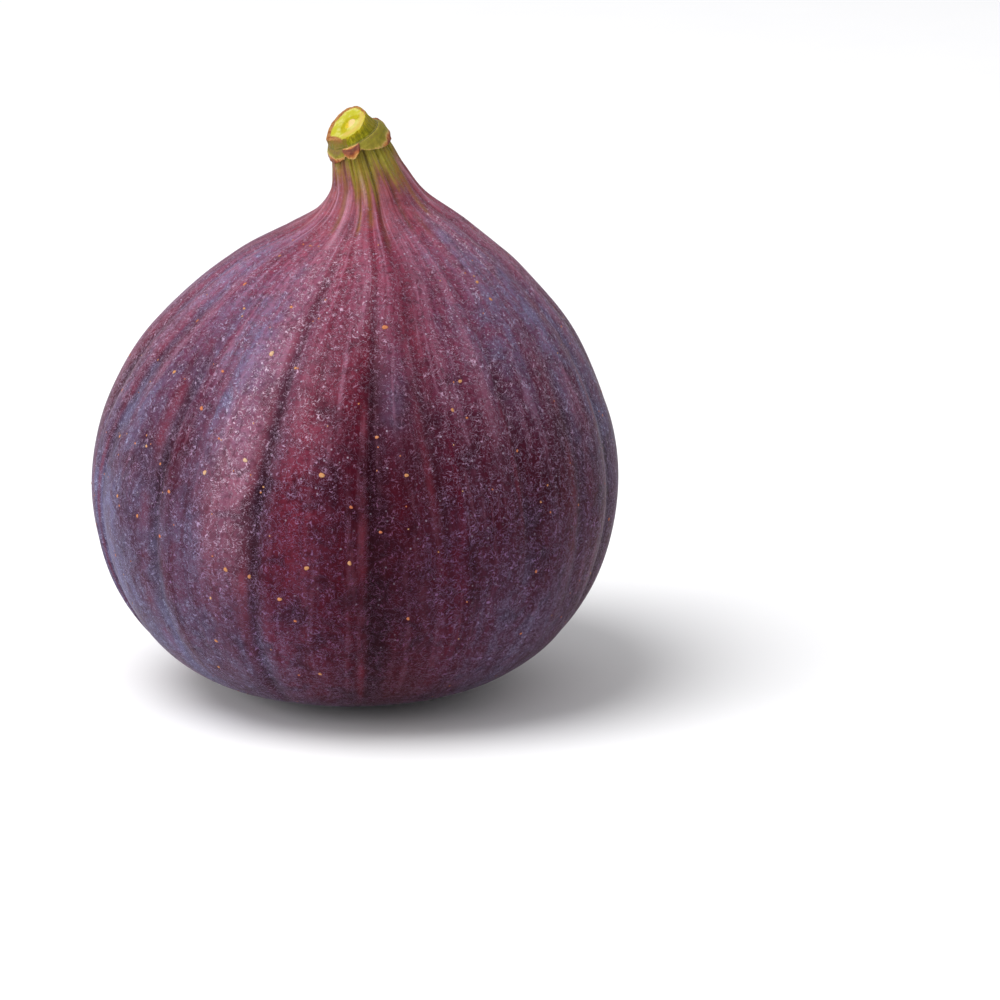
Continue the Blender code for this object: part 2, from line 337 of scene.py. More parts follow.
@dataclass
class Surface:
    """A mesh in the making: its points, its faces, and the values that its points carry."""

    points: np.ndarray
    faces: list[tuple[int, ...]]
    fields: Fields = field(default_factory=dict)

    @classmethod
    def loft(
        cls, rows: np.ndarray, fields: Fields, first: np.ndarray | None = None, last: np.ndarray | None = None
    ) -> Surface:
        """Joins closed rings in order, and closes each end that has a point with a fan to it.

        Args:
            rows: the rings, as an array of (ring, column, coordinate).
            fields: the values of each ring's points.
            first: the point that closes the first ring.
            last: the point that closes the last ring.

        Returns:
            The lofted surface.
        """
        count, columns = rows.shape[:2]
        index = np.arange(count * columns).reshape(count, columns)
        beside = np.roll(index, -1, axis=1)
        quads = np.stack([index[:-1], beside[:-1], beside[1:], index[1:]], axis=-1)
        faces = [tuple(quad) for quad in quads.reshape(-1, 4).tolist()]
        points = [rows.reshape(-1, 3)]
        values = {name: [v.reshape(count * columns, *v.shape[2:])] for name, v in fields.items()}
        middle = count * columns
        for point, ring in ((first, 0), (last, -1)):
            if point is not None:
                points.append(np.asarray(point, float)[None])
                for name, v in fields.items():
                    values[name].append(v[ring].mean(axis=0)[None])
                faces += [(int(a), int(b), middle) for a, b in zip(index[ring], beside[ring])]
                middle += 1
        return cls(np.vstack(points), faces, {name: np.concatenate(v) for name, v in values.items()})

    @classmethod
    def leaf(cls, outer: np.ndarray, inner: np.ndarray, fields: Fields) -> Surface:
        """A thin closed leaf between two open grids that meet the same edges.

        Args:
            outer: the outside, as an array of (row, column, coordinate).
            inner: the inside, of the same size.
            fields: the values of the grid's points, the same on both sides.

        Returns:
            The leaf's surface.
        """
        count = outer.shape[0]
        loops = np.swapaxes(np.concatenate([outer, inner[::-1]]), 0, 1)
        both = {name: np.swapaxes(np.concatenate([v, v[::-1]]), 0, 1) for name, v in fields.items()}
        made = cls.loft(loops, both)
        around = loops.shape[1]
        for start in (0, (loops.shape[0] - 1) * around):
            for row in range(count - 1):
                faces = (row, row + 1, around - 2 - row, around - 1 - row)
                made.faces.append(tuple(start + corner for corner in faces))
        return made

    @classmethod
    def joined(cls, parts: list[Surface]) -> Surface:
        """Several surfaces with the same fields as one."""
        faces, start = [], 0
        for part in parts:
            faces += [tuple(start + corner for corner in face) for face in part.faces]
            start += len(part.points)
        names = parts[0].fields
        fields = {name: np.concatenate([part.fields[name] for part in parts]) for name in names}
        return cls(np.vstack([part.points for part in parts]), faces, fields)


@dataclass(frozen=True)
class Workshop:
    """Turns surfaces into pieces that ride on the fruit's body."""

    metres: float

    def deliver(
        self, surface: Surface, name: str, material: bpy.types.Material, slot: Slot, node: str = ""
    ) -> bpy.types.Object:
        """Makes a piece and hides the solid that it replaces, if any.

        Args:
            surface: the piece's shape.
            name: the piece's name.
            material: its finish.
            slot: the record's slot that the finish belongs to; not used.
            node: the solid that the piece replaces, if any.

        Returns:
            The piece.
        """
        data = bpy.data.meshes.new(name)
        data.from_pydata((surface.points * self.metres).tolist(), [], surface.faces)
        mesh = bmesh.new()
        mesh.from_mesh(data)
        bmesh.ops.recalc_face_normals(mesh, faces=mesh.faces)
        mesh.to_mesh(data)
        mesh.free()
        for label, values in surface.fields.items():
            kind, key = ("FLOAT_VECTOR", "vector") if values.ndim == 2 else ("FLOAT", "value")
            layer = data.attributes.new(label, kind, "POINT")
            layer.data.foreach_set(key, np.ascontiguousarray(values, np.float32).ravel())
        data.shade_smooth()
        data.materials.append(material)
        piece = bpy.data.objects.new(name, data)
        bpy.context.collection.objects.link(piece)
        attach(piece, "root")
        if node:
            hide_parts(node)
        log.info("%s: %d points, %d faces", name, len(surface.points), len(surface.faces))
        return piece


@dataclass(frozen=True)
class Patch:
    """A soft-edged mark on the skin."""

    azimuth: float
    share: float
    half_width: float
    half_length: float
    strength: float

    def weight(self, azimuth: np.ndarray, share: float) -> np.ndarray:
        """How strong the mark is at these azimuths of one share."""
        across = (apart(azimuth, self.azimuth) / self.half_width) ** 2
        return self.strength * np.exp(-across - ((share - self.share) / self.half_length) ** 2)


def patches(*rows: tuple[float, ...]) -> tuple[Patch, ...]:
    """The marks of rows of (azimuth, share, half width, half length, strength)."""
    return tuple(Patch(*row) for row in rows)


def marked(marks: tuple[Patch, ...], azimuth: np.ndarray, share: float) -> np.ndarray:
    """How strong all these marks are together at these azimuths of one share."""
    return sum(patch.weight(azimuth, share) for patch in marks)


@dataclass(frozen=True)
class Thread:
    """A thin line that runs down the neck, as a ridge or a groove of its own tone. Pale ridges are partly
    painted highlight and dusk grooves partly painted shade.
    """

    tone: Tone
    half_width: float
    height: float
    # (share, azimuth), from its lower end up
    path: Table
    # the share from which an upper end runs on to the neck's top
    runs_on_from: float = 0.98

    def weight(self, azimuth: np.ndarray, share: float, radius: float) -> np.ndarray:
        """How strongly the line shows at these azimuths of one share.

        Args:
            azimuth: the azimuths.
            share: the place along the outline.
            radius: the fruit's radius there.

        Returns:
            From 0 away from the line to 1 on it.
        """
        shares, azimuths = np.array(self.path).T
        off = np.radians(apart(azimuth, np.interp(share, shares, azimuths))) * radius
        ends = smoothstep(shares[0] - 0.004, shares[0] + 0.02, share)
        if shares[-1] < self.runs_on_from:
            ends = ends * (1.0 - smoothstep(shares[-1] - 0.01, shares[-1] + 0.01, share))
        return ends * bell(off, self.half_width)


@dataclass
class FruitForm:
    """The fruit's shape: an outline turned about a leaning centre line, with furrows between ribs."""

    belly_radius: float = 28.5
    # (radius, height), from the rest spot to the top of the neck
    outline: Table = (
        (8.6, 0.0), (12.4, 1.2), (17.6, 3.0), (22.5, 6.8), (25.9, 11.8), (27.9, 17.8), (28.5, 23.8),
        (27.6, 29.8), (25.4, 35.3), (22.7, 39.8), (19.1, 43.8), (15.2, 47.3), (10.9, 50.3), (6.4, 53.2),
        (4.35, 56.0), (3.62, 58.2), (3.36, 59.2), (3.15, 60.0),
    )
    # (height, how far the middle lies to the right, how far back)
    centre_line: Table = (
        (0.0, -0.3, 0.0), (23.8, 0.0, 0.0), (35.8, 0.4, 0.0), (43.8, 1.05, 0.0), (48.0, 1.7, 0.0),
        (52.0, 1.6, 0.0), (56.0, 1.5, -0.2), (60.0, 0.5, -0.45),
    )
    neck_bends_from: float = 47.5
    neck_top: float = 60.0
    leans_left: float = 25.0
    leans_forward: float = 13.0
    # (azimuth at the shoulder, azimuth at the base, depth, share at which it dies out, kept on the neck)
    front_furrows: Table = (
        (-153.0, -167.0, 0.85, 0.1, 0.4), (-134.0, -138.0, 0.8, 0.18, 0.15),
        (-123.5, -126.0, 0.4, 0.55, 0.9), (-106.5, -112.0, 1.05, 0.1, 0.25), (-98.5, -99.0, 0.4, 0.6, 0.55),
        (-85.4, -84.6, 0.9, 0.08, 0.12), (-74.5, -66.0, 0.55, 0.35, 0.7), (-63.0, -58.0, 0.3, 0.6, 0.2),
        (-52.0, -48.0, 0.55, 0.35, 0.6), (-31.0, -31.0, 0.6, 0.3, 0.2), (-14.0, -15.0, 0.75, 0.15, 0.35),
    )
    threads: tuple[Thread, ...] = (
        Thread(
            Tone.GOLD, 0.26, -0.10,
            ((0.882, -123.5), (0.924, -124.2), (0.945, -126.3), (0.966, -124.8), (0.993, -132.0)),
        ),
        Thread(
            Tone.GOLD, 0.22, -0.07,
            ((0.880, -99.0), (0.897, -98.3), (0.919, -99.0), (0.941, -101.0), (0.991, -105.5)),
        ),
        Thread(Tone.GOLD, 0.30, 0.05, ((0.890, -86.0), (0.949, -87.8), (0.968, -88.8), (0.988, -90.8))),
        Thread(Tone.DUSK, 0.30, -0.08, ((0.840, -76.5), (0.906, -75.2), (0.952, -76.0), (0.991, -76.5))),
        Thread(Tone.DUSK, 0.30, -0.10, ((0.865, -55.0), (0.902, -52.2), (0.940, -51.2), (0.965, -47.0))),
        Thread(Tone.DUSK, 0.30, -0.06, ((0.850, -44.5), (0.874, -43.2), (0.900, -41.0))),
        Thread(
            Tone.PALE, 0.14, 0.07,
            ((0.890, -142.8), (0.921, -141.0), (0.958, -141.0), (0.977, -142.8), (0.993, -161.0)),
        ),
        Thread(Tone.PALE, 0.18, 0.05, ((0.925, -90.8), (0.950, -92.8), (0.975, -93.5))),
        Thread(Tone.PALE, 0.20, 0.06, ((0.885, -11.2), (0.915, -6.0), (0.938, -9.5), (0.970, -12.0))),
        Thread(Tone.PALE, 0.36, 0.06, ((0.850, -117.0), (0.892, -116.7), (0.922, -119.5), (0.955, -121.0))),
        Thread(Tone.PALE, 0.18, 0.06, ((0.880, -167.5), (0.916, -171.0), (0.954, -175.3))),
        Thread(Tone.PALE, 0.14, 0.05, ((0.882, -101.8), (0.915, -100.8), (0.940, -102.5))),
        Thread(Tone.PALE, 0.14, 0.05, ((0.840, -150.0), (0.890, -151.0), (0.960, -153.0))),
        Thread(Tone.GOLD, 0.30, 0.05, ((0.880, -28.0), (0.920, -26.0), (0.960, -27.0), (0.990, -30.0))),
    )
    # (tone, share of the lower end, height)
    back_thread_ends: tuple[tuple[Tone, float, float], ...] = (
        (Tone.GOLD, 0.885, -0.08), (Tone.PALE, 0.85, 0.05), (Tone.DUSK, 0.87, -0.08),
        (Tone.PALE, 0.9, 0.05),
    )
    back_thread_half_width: float = 0.24
    back_furrows: int = 11
    back_jitter: float = 2.5
    # (depth, share at which it dies out), taken in turn
    back_ways: Table = ((0.70, 0.12), (0.35, 0.55), (0.60, 0.30), (0.45, 0.45))
    back_kept: tuple[float, float] = (0.5, 0.2)
    seed: int = 11
    rib_roundness: float = 0.75
    furrow_softness: float = 0.03
    furrow_fade: float = 0.32
    # (waves round the fruit, strength, how late the first one starts)
    fine_ribs: Table = ((47, 0.40, 0.0), (71, 0.35, 1.3), (112, 0.25, 4.1))
    fine_rib_height: float = 0.06
    fine_rib_drift: float = 5.0
    # (strength, waves round, their start, twist, waves along, their start)
    lumps: Table = (
        (1.0, 3, 1.0, 0.0, 9.0, 0.0),
        (0.6, 5, 2.3, 0.0, 14.0, 1.0),
        (0.5, 11, 0.0, 9.0, 23.0, 0.4),
    )
    lump_height: float = 0.13
    sunk: float = 0.05

    def __post_init__(self) -> None:
        """Draws the curves and sets out the furrows."""
        self.curve, self.shares = smooth_curve(self.outline)
        self.line, _ = smooth_curve(self.centre_line)
        draw = np.random.default_rng(self.seed)
        furrows = list(self.front_furrows)
        start = furrows[-1][0]
        span = 360.0 + furrows[0][0] - start
        for i in range(self.back_furrows):
            even = start + span * (i + 1) / (self.back_furrows + 1)
            azimuth = even + draw.uniform(-1, 1) * self.back_jitter
            drift = draw.uniform(-1, 1) * self.back_jitter
            way = self.back_ways[i % len(self.back_ways)]
            furrows.append((azimuth, azimuth + drift, *way, self.back_kept[i % len(self.back_kept)]))
        self.furrows = np.array(furrows)
        self.lines = list(self.threads)
        behind = furrows[len(self.front_furrows) :]
        for (azimuth, *_), (tone, end, height) in zip(behind, self.back_thread_ends * 3):
            path = ((end, azimuth + 1.0), (0.94, azimuth), (0.99, azimuth - 3.0))
            self.lines.append(Thread(tone, self.back_thread_half_width, height, path))

    def radius_and_height(self, share: float) -> tuple[float, float]:
        """The smooth outline at a share of its length."""
        radius = np.interp(share, self.shares, self.curve[:, 0])
        return float(radius), float(np.interp(share, self.shares, self.curve[:, 1]))

    def placed(self, flat: np.ndarray, height: float) -> np.ndarray:
        """Points of the level ring at a height, moved and tilted with the centre line.

        Args:
            flat: the points about the ring's own middle.
            height: the height of that middle.

        Returns:
            The points in the fruit's place.
        """
        right, back = (np.interp(height, self.line[:, 0], self.line[:, k]) for k in (1, 2))
        bend = smoothstep(self.neck_bends_from, self.neck_top, height)
        return leaned(flat, self.leans_left * bend, self.leans_forward * bend) + (right, back, height)

    def furrows_at(self, share: float) -> tuple[np.ndarray, np.ndarray]:
        """The furrows at one share, the first one repeated a turn later.

        Args:
            share: the place along the outline.

        Returns:
            The furrows' azimuths and their depths.
        """
        shoulder, base, depth, reach, kept = self.furrows.T
        azimuths = base + (shoulder - base) * smoothstep(0.25, 0.75, share)
        fade = np.clip((share - reach) / self.furrow_fade + 0.5, 0.0, 1.0)
        size = self.radius_and_height(share)[0] / self.belly_radius
        depths = depth * fade * fade * (3.0 - 2.0 * fade) * smoothstep(0.02, 0.16, share)
        depths = depths * (kept + (1.0 - kept) * size)
        return np.r_[azimuths, azimuths[0] + 360.0], np.r_[depths, depths[0]]

    def ribs(self, azimuths: np.ndarray, share: float) -> tuple[np.ndarray, np.ndarray, np.ndarray]:
        """Where azimuths lie among the ribs of one share.

        Args:
            azimuths: the azimuths.
            share: the place along the outline.

        Returns:
            The rib's number with its part, the crease from 0 to 1, and the furrow's depth.
        """
        starts, depths = self.furrows_at(share)
        turned = (azimuths - starts[0]) % 360.0 + starts[0]
        number = np.interp(turned, starts, np.arange(len(starts)))
        depth = np.interp(number, np.arange(len(starts)), depths)
        arch = (np.sin(np.pi * number) ** 2 + self.furrow_softness) / (1.0 + self.furrow_softness)
        return number, 1.0 - arch ** (self.rib_roundness / 2.0), depth

    def toned(self, tone: Tone, azimuths: np.ndarray, share: float) -> np.ndarray:
        """How strongly the neck's lines of one tone show at these azimuths of one share."""
        radius, _ = self.radius_and_height(share)
        weights = [line.weight(azimuths, share, radius) for line in self.lines if line.tone is tone]
        return np.clip(sum(weights), 0.0, 1.0)

    def relief(self, azimuths: np.ndarray, share: float) -> np.ndarray:
        """How far the skin stands out from the smooth outline, below 0 in a furrow.

        Args:
            azimuths: the azimuths.
            share: the place along the outline.

        Returns:
            The distances along the radius.
        """
        radius, _ = self.radius_and_height(share)
        number, crease, depth = self.ribs(azimuths, share)
        turn = 2.0 * np.pi * number / len(self.furrows)
        drift = self.fine_rib_drift * share
        fine = sum(part * np.cos(waves * turn + late + drift) for waves, part, late in self.fine_ribs)
        height = self.fine_rib_height * (0.25 + 0.75 * radius / self.belly_radius)
        calm = 1.0 - 0.75 * smoothstep(0.84, 0.95, share)
        calm = calm * (0.25 + 0.75 * smoothstep(0.45, 0.75, share))
        out = height * fine * calm - depth * crease
        out = out + sum(line.height * line.weight(azimuths, share, radius) for line in self.lines)
        angle = np.radians(azimuths)
        lumps = sum(
            part * np.sin(waves * angle + late + twist * share) * np.sin(along * share + start)
            for part, waves, late, twist, along, start in self.lumps
        )
        window = smoothstep(0.03, 0.2, share) * (1.0 - smoothstep(0.7, 0.9, share))
        return out + (self.lump_height * lumps * window - self.sunk) * smoothstep(0.0, 0.08, share)

    def skin(self, azimuths: np.ndarray, share: float) -> np.ndarray:
        """Points on the skin at these azimuths of one share."""
        radius, height = self.radius_and_height(share)
        return self.placed(on_circle(radius + self.relief(azimuths, share), azimuths, 0.0), height)


@dataclass
class Joint:
    """The slanting plane on top of the neck that the stem and the bracts grow from."""

    form: FruitForm

    def __post_init__(self) -> None:
        """Finds the plane's middle and its axis."""
        self.middle = self.form.placed(np.zeros(3), self.form.neck_top)
        self.axis = self.turned(np.array([0.0, 0.0, 1.0]))

    def turned(self, flat: np.ndarray) -> np.ndarray:
        """Directions leaned with the plane."""
        return leaned(flat, self.form.leans_left, self.form.leans_forward)

    def points(self, radius: Reals, azimuth: Reals, height: Reals) -> np.ndarray:
        """Points by their radius, azimuth and height over the neck's top."""
        return self.middle + self.turned(on_circle(radius, azimuth, height))


@dataclass(frozen=True)
class SkinFinish:
    """Thin purple skin: streaked burgundy and rose, a blue bloom with flecks, and a green neck."""

    # The skin's tones by share, darker towards the bottom: partly its own dark plum, partly painted shade
    # under the belly.
    tones: Stops = (
        (0.0, (46, 20, 33)), (0.2, (58, 13, 29)), (0.5, (60, 9, 26)), (0.62, (84, 29, 50)),
        (0.74, (112, 46, 70)), (0.84, (130, 59, 80)), (0.92, (142, 70, 82)), (1.0, (136, 84, 72)),
    )
    rose: Paint = (160, 100, 122)
    ruby: Paint = (132, 26, 46)
    # Dark red where the bloom is rubbed off, also used as painted shade low on the front.
    rubbed_and_shaded: Paint = (62, 4, 16)
    # Dark maroon for painted shade in the furrows.
    furrow: Paint = (28, 3, 12)
    lip: Paint = (132, 50, 66)
    light_streak: Paint = (174, 120, 146)
    dark_streak: Paint = (88, 14, 34)
    bloom: Paint = (110, 106, 142)
    low_fleck: Paint = (160, 120, 170)
    red_fleck: Paint = (150, 84, 118)
    # Dark maroon for painted shade beside the furrows and low on the front, and for dark mottling that is
    # stronger towards the bottom.
    shade: Paint = (34, 3, 14)
    tan: Paint = (136, 92, 58)
    fleck: Paint = (206, 170, 198)
    bloom_fleck: Paint = (172, 174, 210)
    rose_fleck: Paint = (226, 196, 214)
    # Tiny pale dots: painted glints.
    painted_glint: Paint = (208, 190, 214)
    gap: Paint = (40, 6, 20)
    # Dusk lines lie in grooves and pale ones on ridges: partly painted shade and painted highlight.
    # (tone, paint, how much of it shows) of the neck's lines
    lines: tuple[tuple[Tone, Paint, float], ...] = (
        (Tone.GOLD, (134, 96, 40), 0.7),
        (Tone.DUSK, (104, 64, 44), 0.5),
        (Tone.PALE, (190, 136, 156), 0.5),
    )
    neck_stops: Stops = ((0.1, (106, 96, 24)), (0.42, (138, 126, 44)), (0.62, (162, 152, 64)))
    sheen: Paint = (214, 206, 232)
    # How many cells lie in a metre.
    long_worm_cells: float = 1500.0
    short_worm_cells: float = 2500.0
    glint_speck_cells: float = 1250.0

    def worms(self, g: Graph, place: Socket, cells: float, width: float, broken: float) -> Socket:
        """Short curled flecks of wax.

        Args:
            g: the material's nodes.
            place: the point that they are read at.
            cells: how many cells lie in a metre.
            width: how wide the flecks are, in the noise's own value.
            broken: the noise's value under which they break off.

        Returns:
            1 on a fleck and 0 beside it.
        """
        ridge = g.math("ABSOLUTE", g.math("SUBTRACT", g.noise(place, cells, 0.5, 1.7), 0.5))
        gate = g.ease(g.noise(place, cells * 0.83, 1.0), broken - 0.04, broken + 0.08)
        return g.times(g.ease(ridge, width, 0.0), gate)

    def material(self) -> bpy.types.Material:
        """The skin's material, which reads the fields that the skin's mesh carries."""
        g = Graph("fig_skin")
        place, grain, up = g.place(), g.field("grain", "Vector"), g.field("up")
        crease, flecked, rose, rubbed_and_shaded = (g.field(name) for name in ("crease", "flecked", "rose", "rubbed_and_shaded"))
        wide = g.noise(grain, 7.0, 3.0, 0.2)
        fine = g.noise(grain, 26.0, 3.0, 0.3)
        mottle = g.noise(place, 150.0, 4.0, 0.6)
        blotch = g.noise(place, 520.0, 3.0, 0.8)
        dim, dark = g.noise(place, 280.0, 3.0, 0.8), g.noise(place, 420.0, 3.0, 0.6)
        streaky = g.ease(up, 0.35, 0.85, 0.2, 1.0)
        uneven = g.plus(crease, g.ease(mottle, 0.25, 0.75, 0.10, -0.10))
        flesh = g.coated(
            g.ramp(up, self.tones),
            (self.rose, rose, g.ease(mottle, 0.25, 0.75, 0.4, 0.85)),
            (self.dark_streak, g.ease(wide, 0.5, 0.7, 0.0, 0.55)),
            (self.ruby, g.field("ruby"), g.ease(mottle, 0.25, 0.65, 0.3, 1.0)),
            (self.light_streak, g.ease(wide, 0.5, 0.3, 0.0, 0.4), streaky),
            # Dark red where rubbed: worn bloom, and painted shade low on the front.
            (self.rubbed_and_shaded, rubbed_and_shaded, g.ease(mottle, 0.15, 0.5)),
            (self.light_streak, g.ease(fine, 0.53, 0.72, 0.0, 0.5), streaky),
            (self.dark_streak, g.ease(fine, 0.48, 0.3, 0.0, 0.5), streaky),
            (self.gap, g.ease(blotch, 0.5, 0.3, 0.0, 0.35)),
            # Dark mottling, stronger towards the bottom, then painted shade beside the furrows and low on the
            # front.
            (self.shade, g.ease(dim, 0.52, 0.28), g.ease(up, 0.45, 0.75, 0.65, 0.2)),
            (self.shade, g.field("shade"), g.ease(dark, 0.62, 0.36, 0.35, 1.0)),
            # Painted shade in the furrows, by their crease.
            (self.furrow, g.ease(uneven, 0.1, 0.6, 0.0, 0.45)),
            (self.furrow, g.ease(uneven, 0.5, 0.9, 0.0, 0.7)),
        )
        patchy = g.ease(g.noise(place, 330.0, 4.0, 0.8), 0.32, 0.66, 0.35, 1.0)
        along = g.ease(g.noise(grain, 14.0, 4.0, 0.2), 0.35, 0.62, 0.35, 1.0)
        bloom = g.times(g.field("bloom"), patchy, along)
        gaps = g.ease(g.noise(place, 2300.0, 2.0, 0.5), 0.5, 0.34, 0.0, 0.5)
        long_worms = self.worms(g, place, self.long_worm_cells, 0.038, 0.44)
        short_worms = self.worms(g, place, self.short_worm_cells, 0.046, 0.47)
        flecks = g.math("MAXIMUM", long_worms, g.times(short_worms, 0.75))
        tint = g.coated(
            self.low_fleck,
            (self.fleck, g.ease(up, 0.38, 0.62)),
            (self.red_fleck, rubbed_and_shaded, 0.8),
            (self.bloom_fleck, g.ease(bloom, 0.0, 0.45)),
            (self.rose_fleck, g.ease(rose, 0.1, 0.7, 0.0, 0.7)),
        )
        # Tiny raised dots that carry painted glints, shown less towards the bottom.
        distance, chance = g.cells(place, self.glint_speck_cells)
        glint_specks = g.times(g.ease(distance, 0.19, 0.05), g.ease(chance, 0.55, 0.85))
        shown = g.math("MINIMUM", g.times(flecked, 1.4), g.ease(up, 0.25, 0.7, 0.18, 0.6))
        green = g.plus(g.field("green"), g.ease(wide, 0.35, 0.65, -0.14, 0.14))
        # The neck's green is darker in its furrows: painted shade.
        neck = g.ramp(g.math("SUBTRACT", g.noise(grain, 15.0, 2.0), g.times(crease, 0.3)), self.neck_stops)
        lines = (
            (paint, g.field(tone.value), g.ease(fine, 0.3, 0.6, 0.5 * most, most))
            for tone, paint, most in self.lines
        )
        colour = g.coated(
            flesh,
            (self.bloom, bloom),
            (self.gap, gaps, g.ease(up, 0.8, 0.95, 0.8, 0.2)),
            (tint, flecks, flecked),
            # Painted glints on the tiny dots.
            (self.painted_glint, shown, glint_specks),
            (self.lip, g.field("lip"), g.ease(mottle, 0.3, 0.7, 0.0, 0.4)),
            (self.tan, g.ease(green, 0.16, 0.45, 0.0, 0.7)),
            (neck, g.ease(green, 0.3, 0.9)),
            *lines,
        )
        relief = g.plus(g.times(fine, 0.7), g.times(flecks, 0.35))
        relief = g.plus(relief, g.times(g.plus(blotch, glint_specks), 0.5))
        pores = g.bump(g.noise(place, 900.0, 3.0, 0.4), 0.07)
        worn = g.plus(g.ease(bloom, 0.0, 0.8, 0.43, 0.6), g.ease(mottle, 0.3, 0.7, -0.04, 0.05))
        return g.surface(
            Base_Color=colour,
            Roughness=g.math("SUBTRACT", worn, g.times(rubbed_and_shaded, 0.08)),
            Normal=g.bump(relief, 0.13, pores),
            Specular_IOR_Level=0.045,
            Sheen_Weight=0.35,
            Sheen_Roughness=0.14,
            Sheen_Tint=linear(self.sheen),
        )


@dataclass
class FigSkin:
    """The skin over the whole fruit, from the recess of the eye to the joint under the stem."""

    form: FruitForm
    joint: Joint
    rib_columns: int = 26
    gathered: float = 0.07
    body_rows: int = 104
    neck_rows: int = 46
    neck_starts: float = 0.80
    rest_spot_radii: tuple[float, ...] = (7.6, 6.4, 5.4)
    # (radius, height), from the rest spot inward
    eye_recess: Table = ((5.0, 0.35), (4.5, 0.9), (4.1, 1.5), (3.7, 1.95), (2.2, 2.4))
    eye_depth: float = 2.5
    eye_puckers: int = 21
    pucker_share: float = 0.05
    # (radius, height over the neck's top), under the stem
    under_stem: Table = ((3.05, 0.4), (2.92, 0.85), (2.8, 1.12), (2.2, 1.2))
    relief_under_stem: float = 0.4
    streak_length: float = 0.28
    # The strong patches near azimuths -165 and -16 to -28, along the fruit's sides as seen from the front,
    # are partly painted sheen as well as bloom.
    bloom: tuple[Patch, ...] = patches(
        (-164, 0.79, 12, 0.09, 0.8), (-165, 0.36, 14, 0.13, 0.85), (-150, 0.56, 10, 0.07, 0.42),
        (-148, 0.24, 16, 0.12, 0.46), (-124, 0.72, 9, 0.1, 0.54), (-112, 0.62, 8, 0.12, 0.15),
        (-138, 0.7, 6, 0.12, 0.34), (-148, 0.74, 7, 0.1, 0.3), (-124, 0.6, 6, 0.08, 0.4),
        (-160, 0.48, 8, 0.12, 0.3), (-80, 0.61, 4, 0.06, 0.4), (-128, 0.2, 24, 0.1, 0.45),
        (-126, 0.4, 8, 0.12, 0.25), (-136, 0.42, 7, 0.07, 0.25), (-148, 0.44, 6, 0.06, 0.25),
        (-56, 0.72, 9, 0.1, 0.25), (-42, 0.7, 10, 0.12, 0.32), (-28, 0.76, 15, 0.13, 0.58),
        (-36, 0.86, 9, 0.05, 0.34), (-58, 0.85, 5, 0.06, 0.28), (-150, 0.86, 6, 0.05, 0.28),
        (-16, 0.6, 14, 0.16, 0.65), (-100, 0.06, 30, 0.05, 0.2), (-46, 0.24, 18, 0.12, 0.35),
        (34, 0.48, 24, 0.2, 0.6), (62, 0.72, 20, 0.1, 0.45), (98, 0.56, 26, 0.18, 0.6),
        (138, 0.38, 26, 0.2, 0.6), (160, 0.7, 18, 0.12, 0.45), (70, 0.22, 30, 0.12, 0.45),
    )
    rose: tuple[Patch, ...] = patches(
        (-114, 0.64, 6, 0.14, 0.7), (-137, 0.9, 5, 0.05, 0.7), (-100, 0.86, 5, 0.08, 0.6),
        (-30, 0.86, 12, 0.08, 0.55), (-46, 0.8, 4, 0.09, 0.45), (-150, 0.75, 5, 0.06, 0.35),
        (-116, 0.48, 5, 0.12, 0.58), (-113, 0.38, 4, 0.08, 0.22), (-122, 0.46, 4, 0.16, 0.35),
        (-100, 0.6, 5, 0.08, 0.5), (-101, 0.4, 5, 0.1, 0.14), (-102, 0.7, 6, 0.08, 0.2),
        (-112, 0.83, 10, 0.09, 0.68), (-90, 0.77, 5, 0.11, 0.6), (-80, 0.72, 5, 0.06, 0.3),
        (-60, 0.8, 6, 0.09, 0.3), (-24, 0.85, 12, 0.08, 0.5), (-56, 0.64, 5, 0.1, 0.25),
        (-168, 0.66, 10, 0.16, 0.25), (15, 0.8, 22, 0.08, 0.35), (80, 0.62, 10, 0.14, 0.45),
        (120, 0.8, 22, 0.08, 0.35), (170, 0.58, 9, 0.14, 0.35),
    )
    ruby: tuple[Patch, ...] = patches(
        (-101, 0.52, 5, 0.14, 0.55), (-84, 0.87, 5, 0.07, 0.55), (-104, 0.24, 8, 0.12, 0.3),
        (-101, 0.82, 5, 0.1, 0.45), (-90, 0.64, 6, 0.07, 0.55), (-72, 0.7, 5, 0.1, 0.35),
        (-140, 0.82, 7, 0.07, 0.4), (-126, 0.86, 6, 0.06, 0.3), (-52, 0.84, 5, 0.08, 0.35),
        (20, 0.6, 6, 0.14, 0.45), (108, 0.66, 6, 0.14, 0.45), (150, 0.52, 6, 0.14, 0.4),
    )
    # Where the bloom is rubbed off; the patches low on the front are also painted shade.
    rubbed_and_shaded: tuple[Patch, ...] = patches(
        (-88, 0.58, 6, 0.12, 0.55), (-86, 0.38, 11, 0.13, 0.75), (-80, 0.88, 5, 0.06, 0.4),
        (-70, 0.82, 5, 0.05, 0.25), (-78, 0.18, 16, 0.11, 0.8), (-106, 0.39, 5, 0.06, 0.25),
        (-134, 0.46, 5, 0.12, 0.4), (-74, 0.74, 5, 0.07, 0.35), (-78, 0.55, 6, 0.12, 0.6),
        (8, 0.4, 9, 0.14, 0.6), (118, 0.46, 8, 0.14, 0.7),
    )
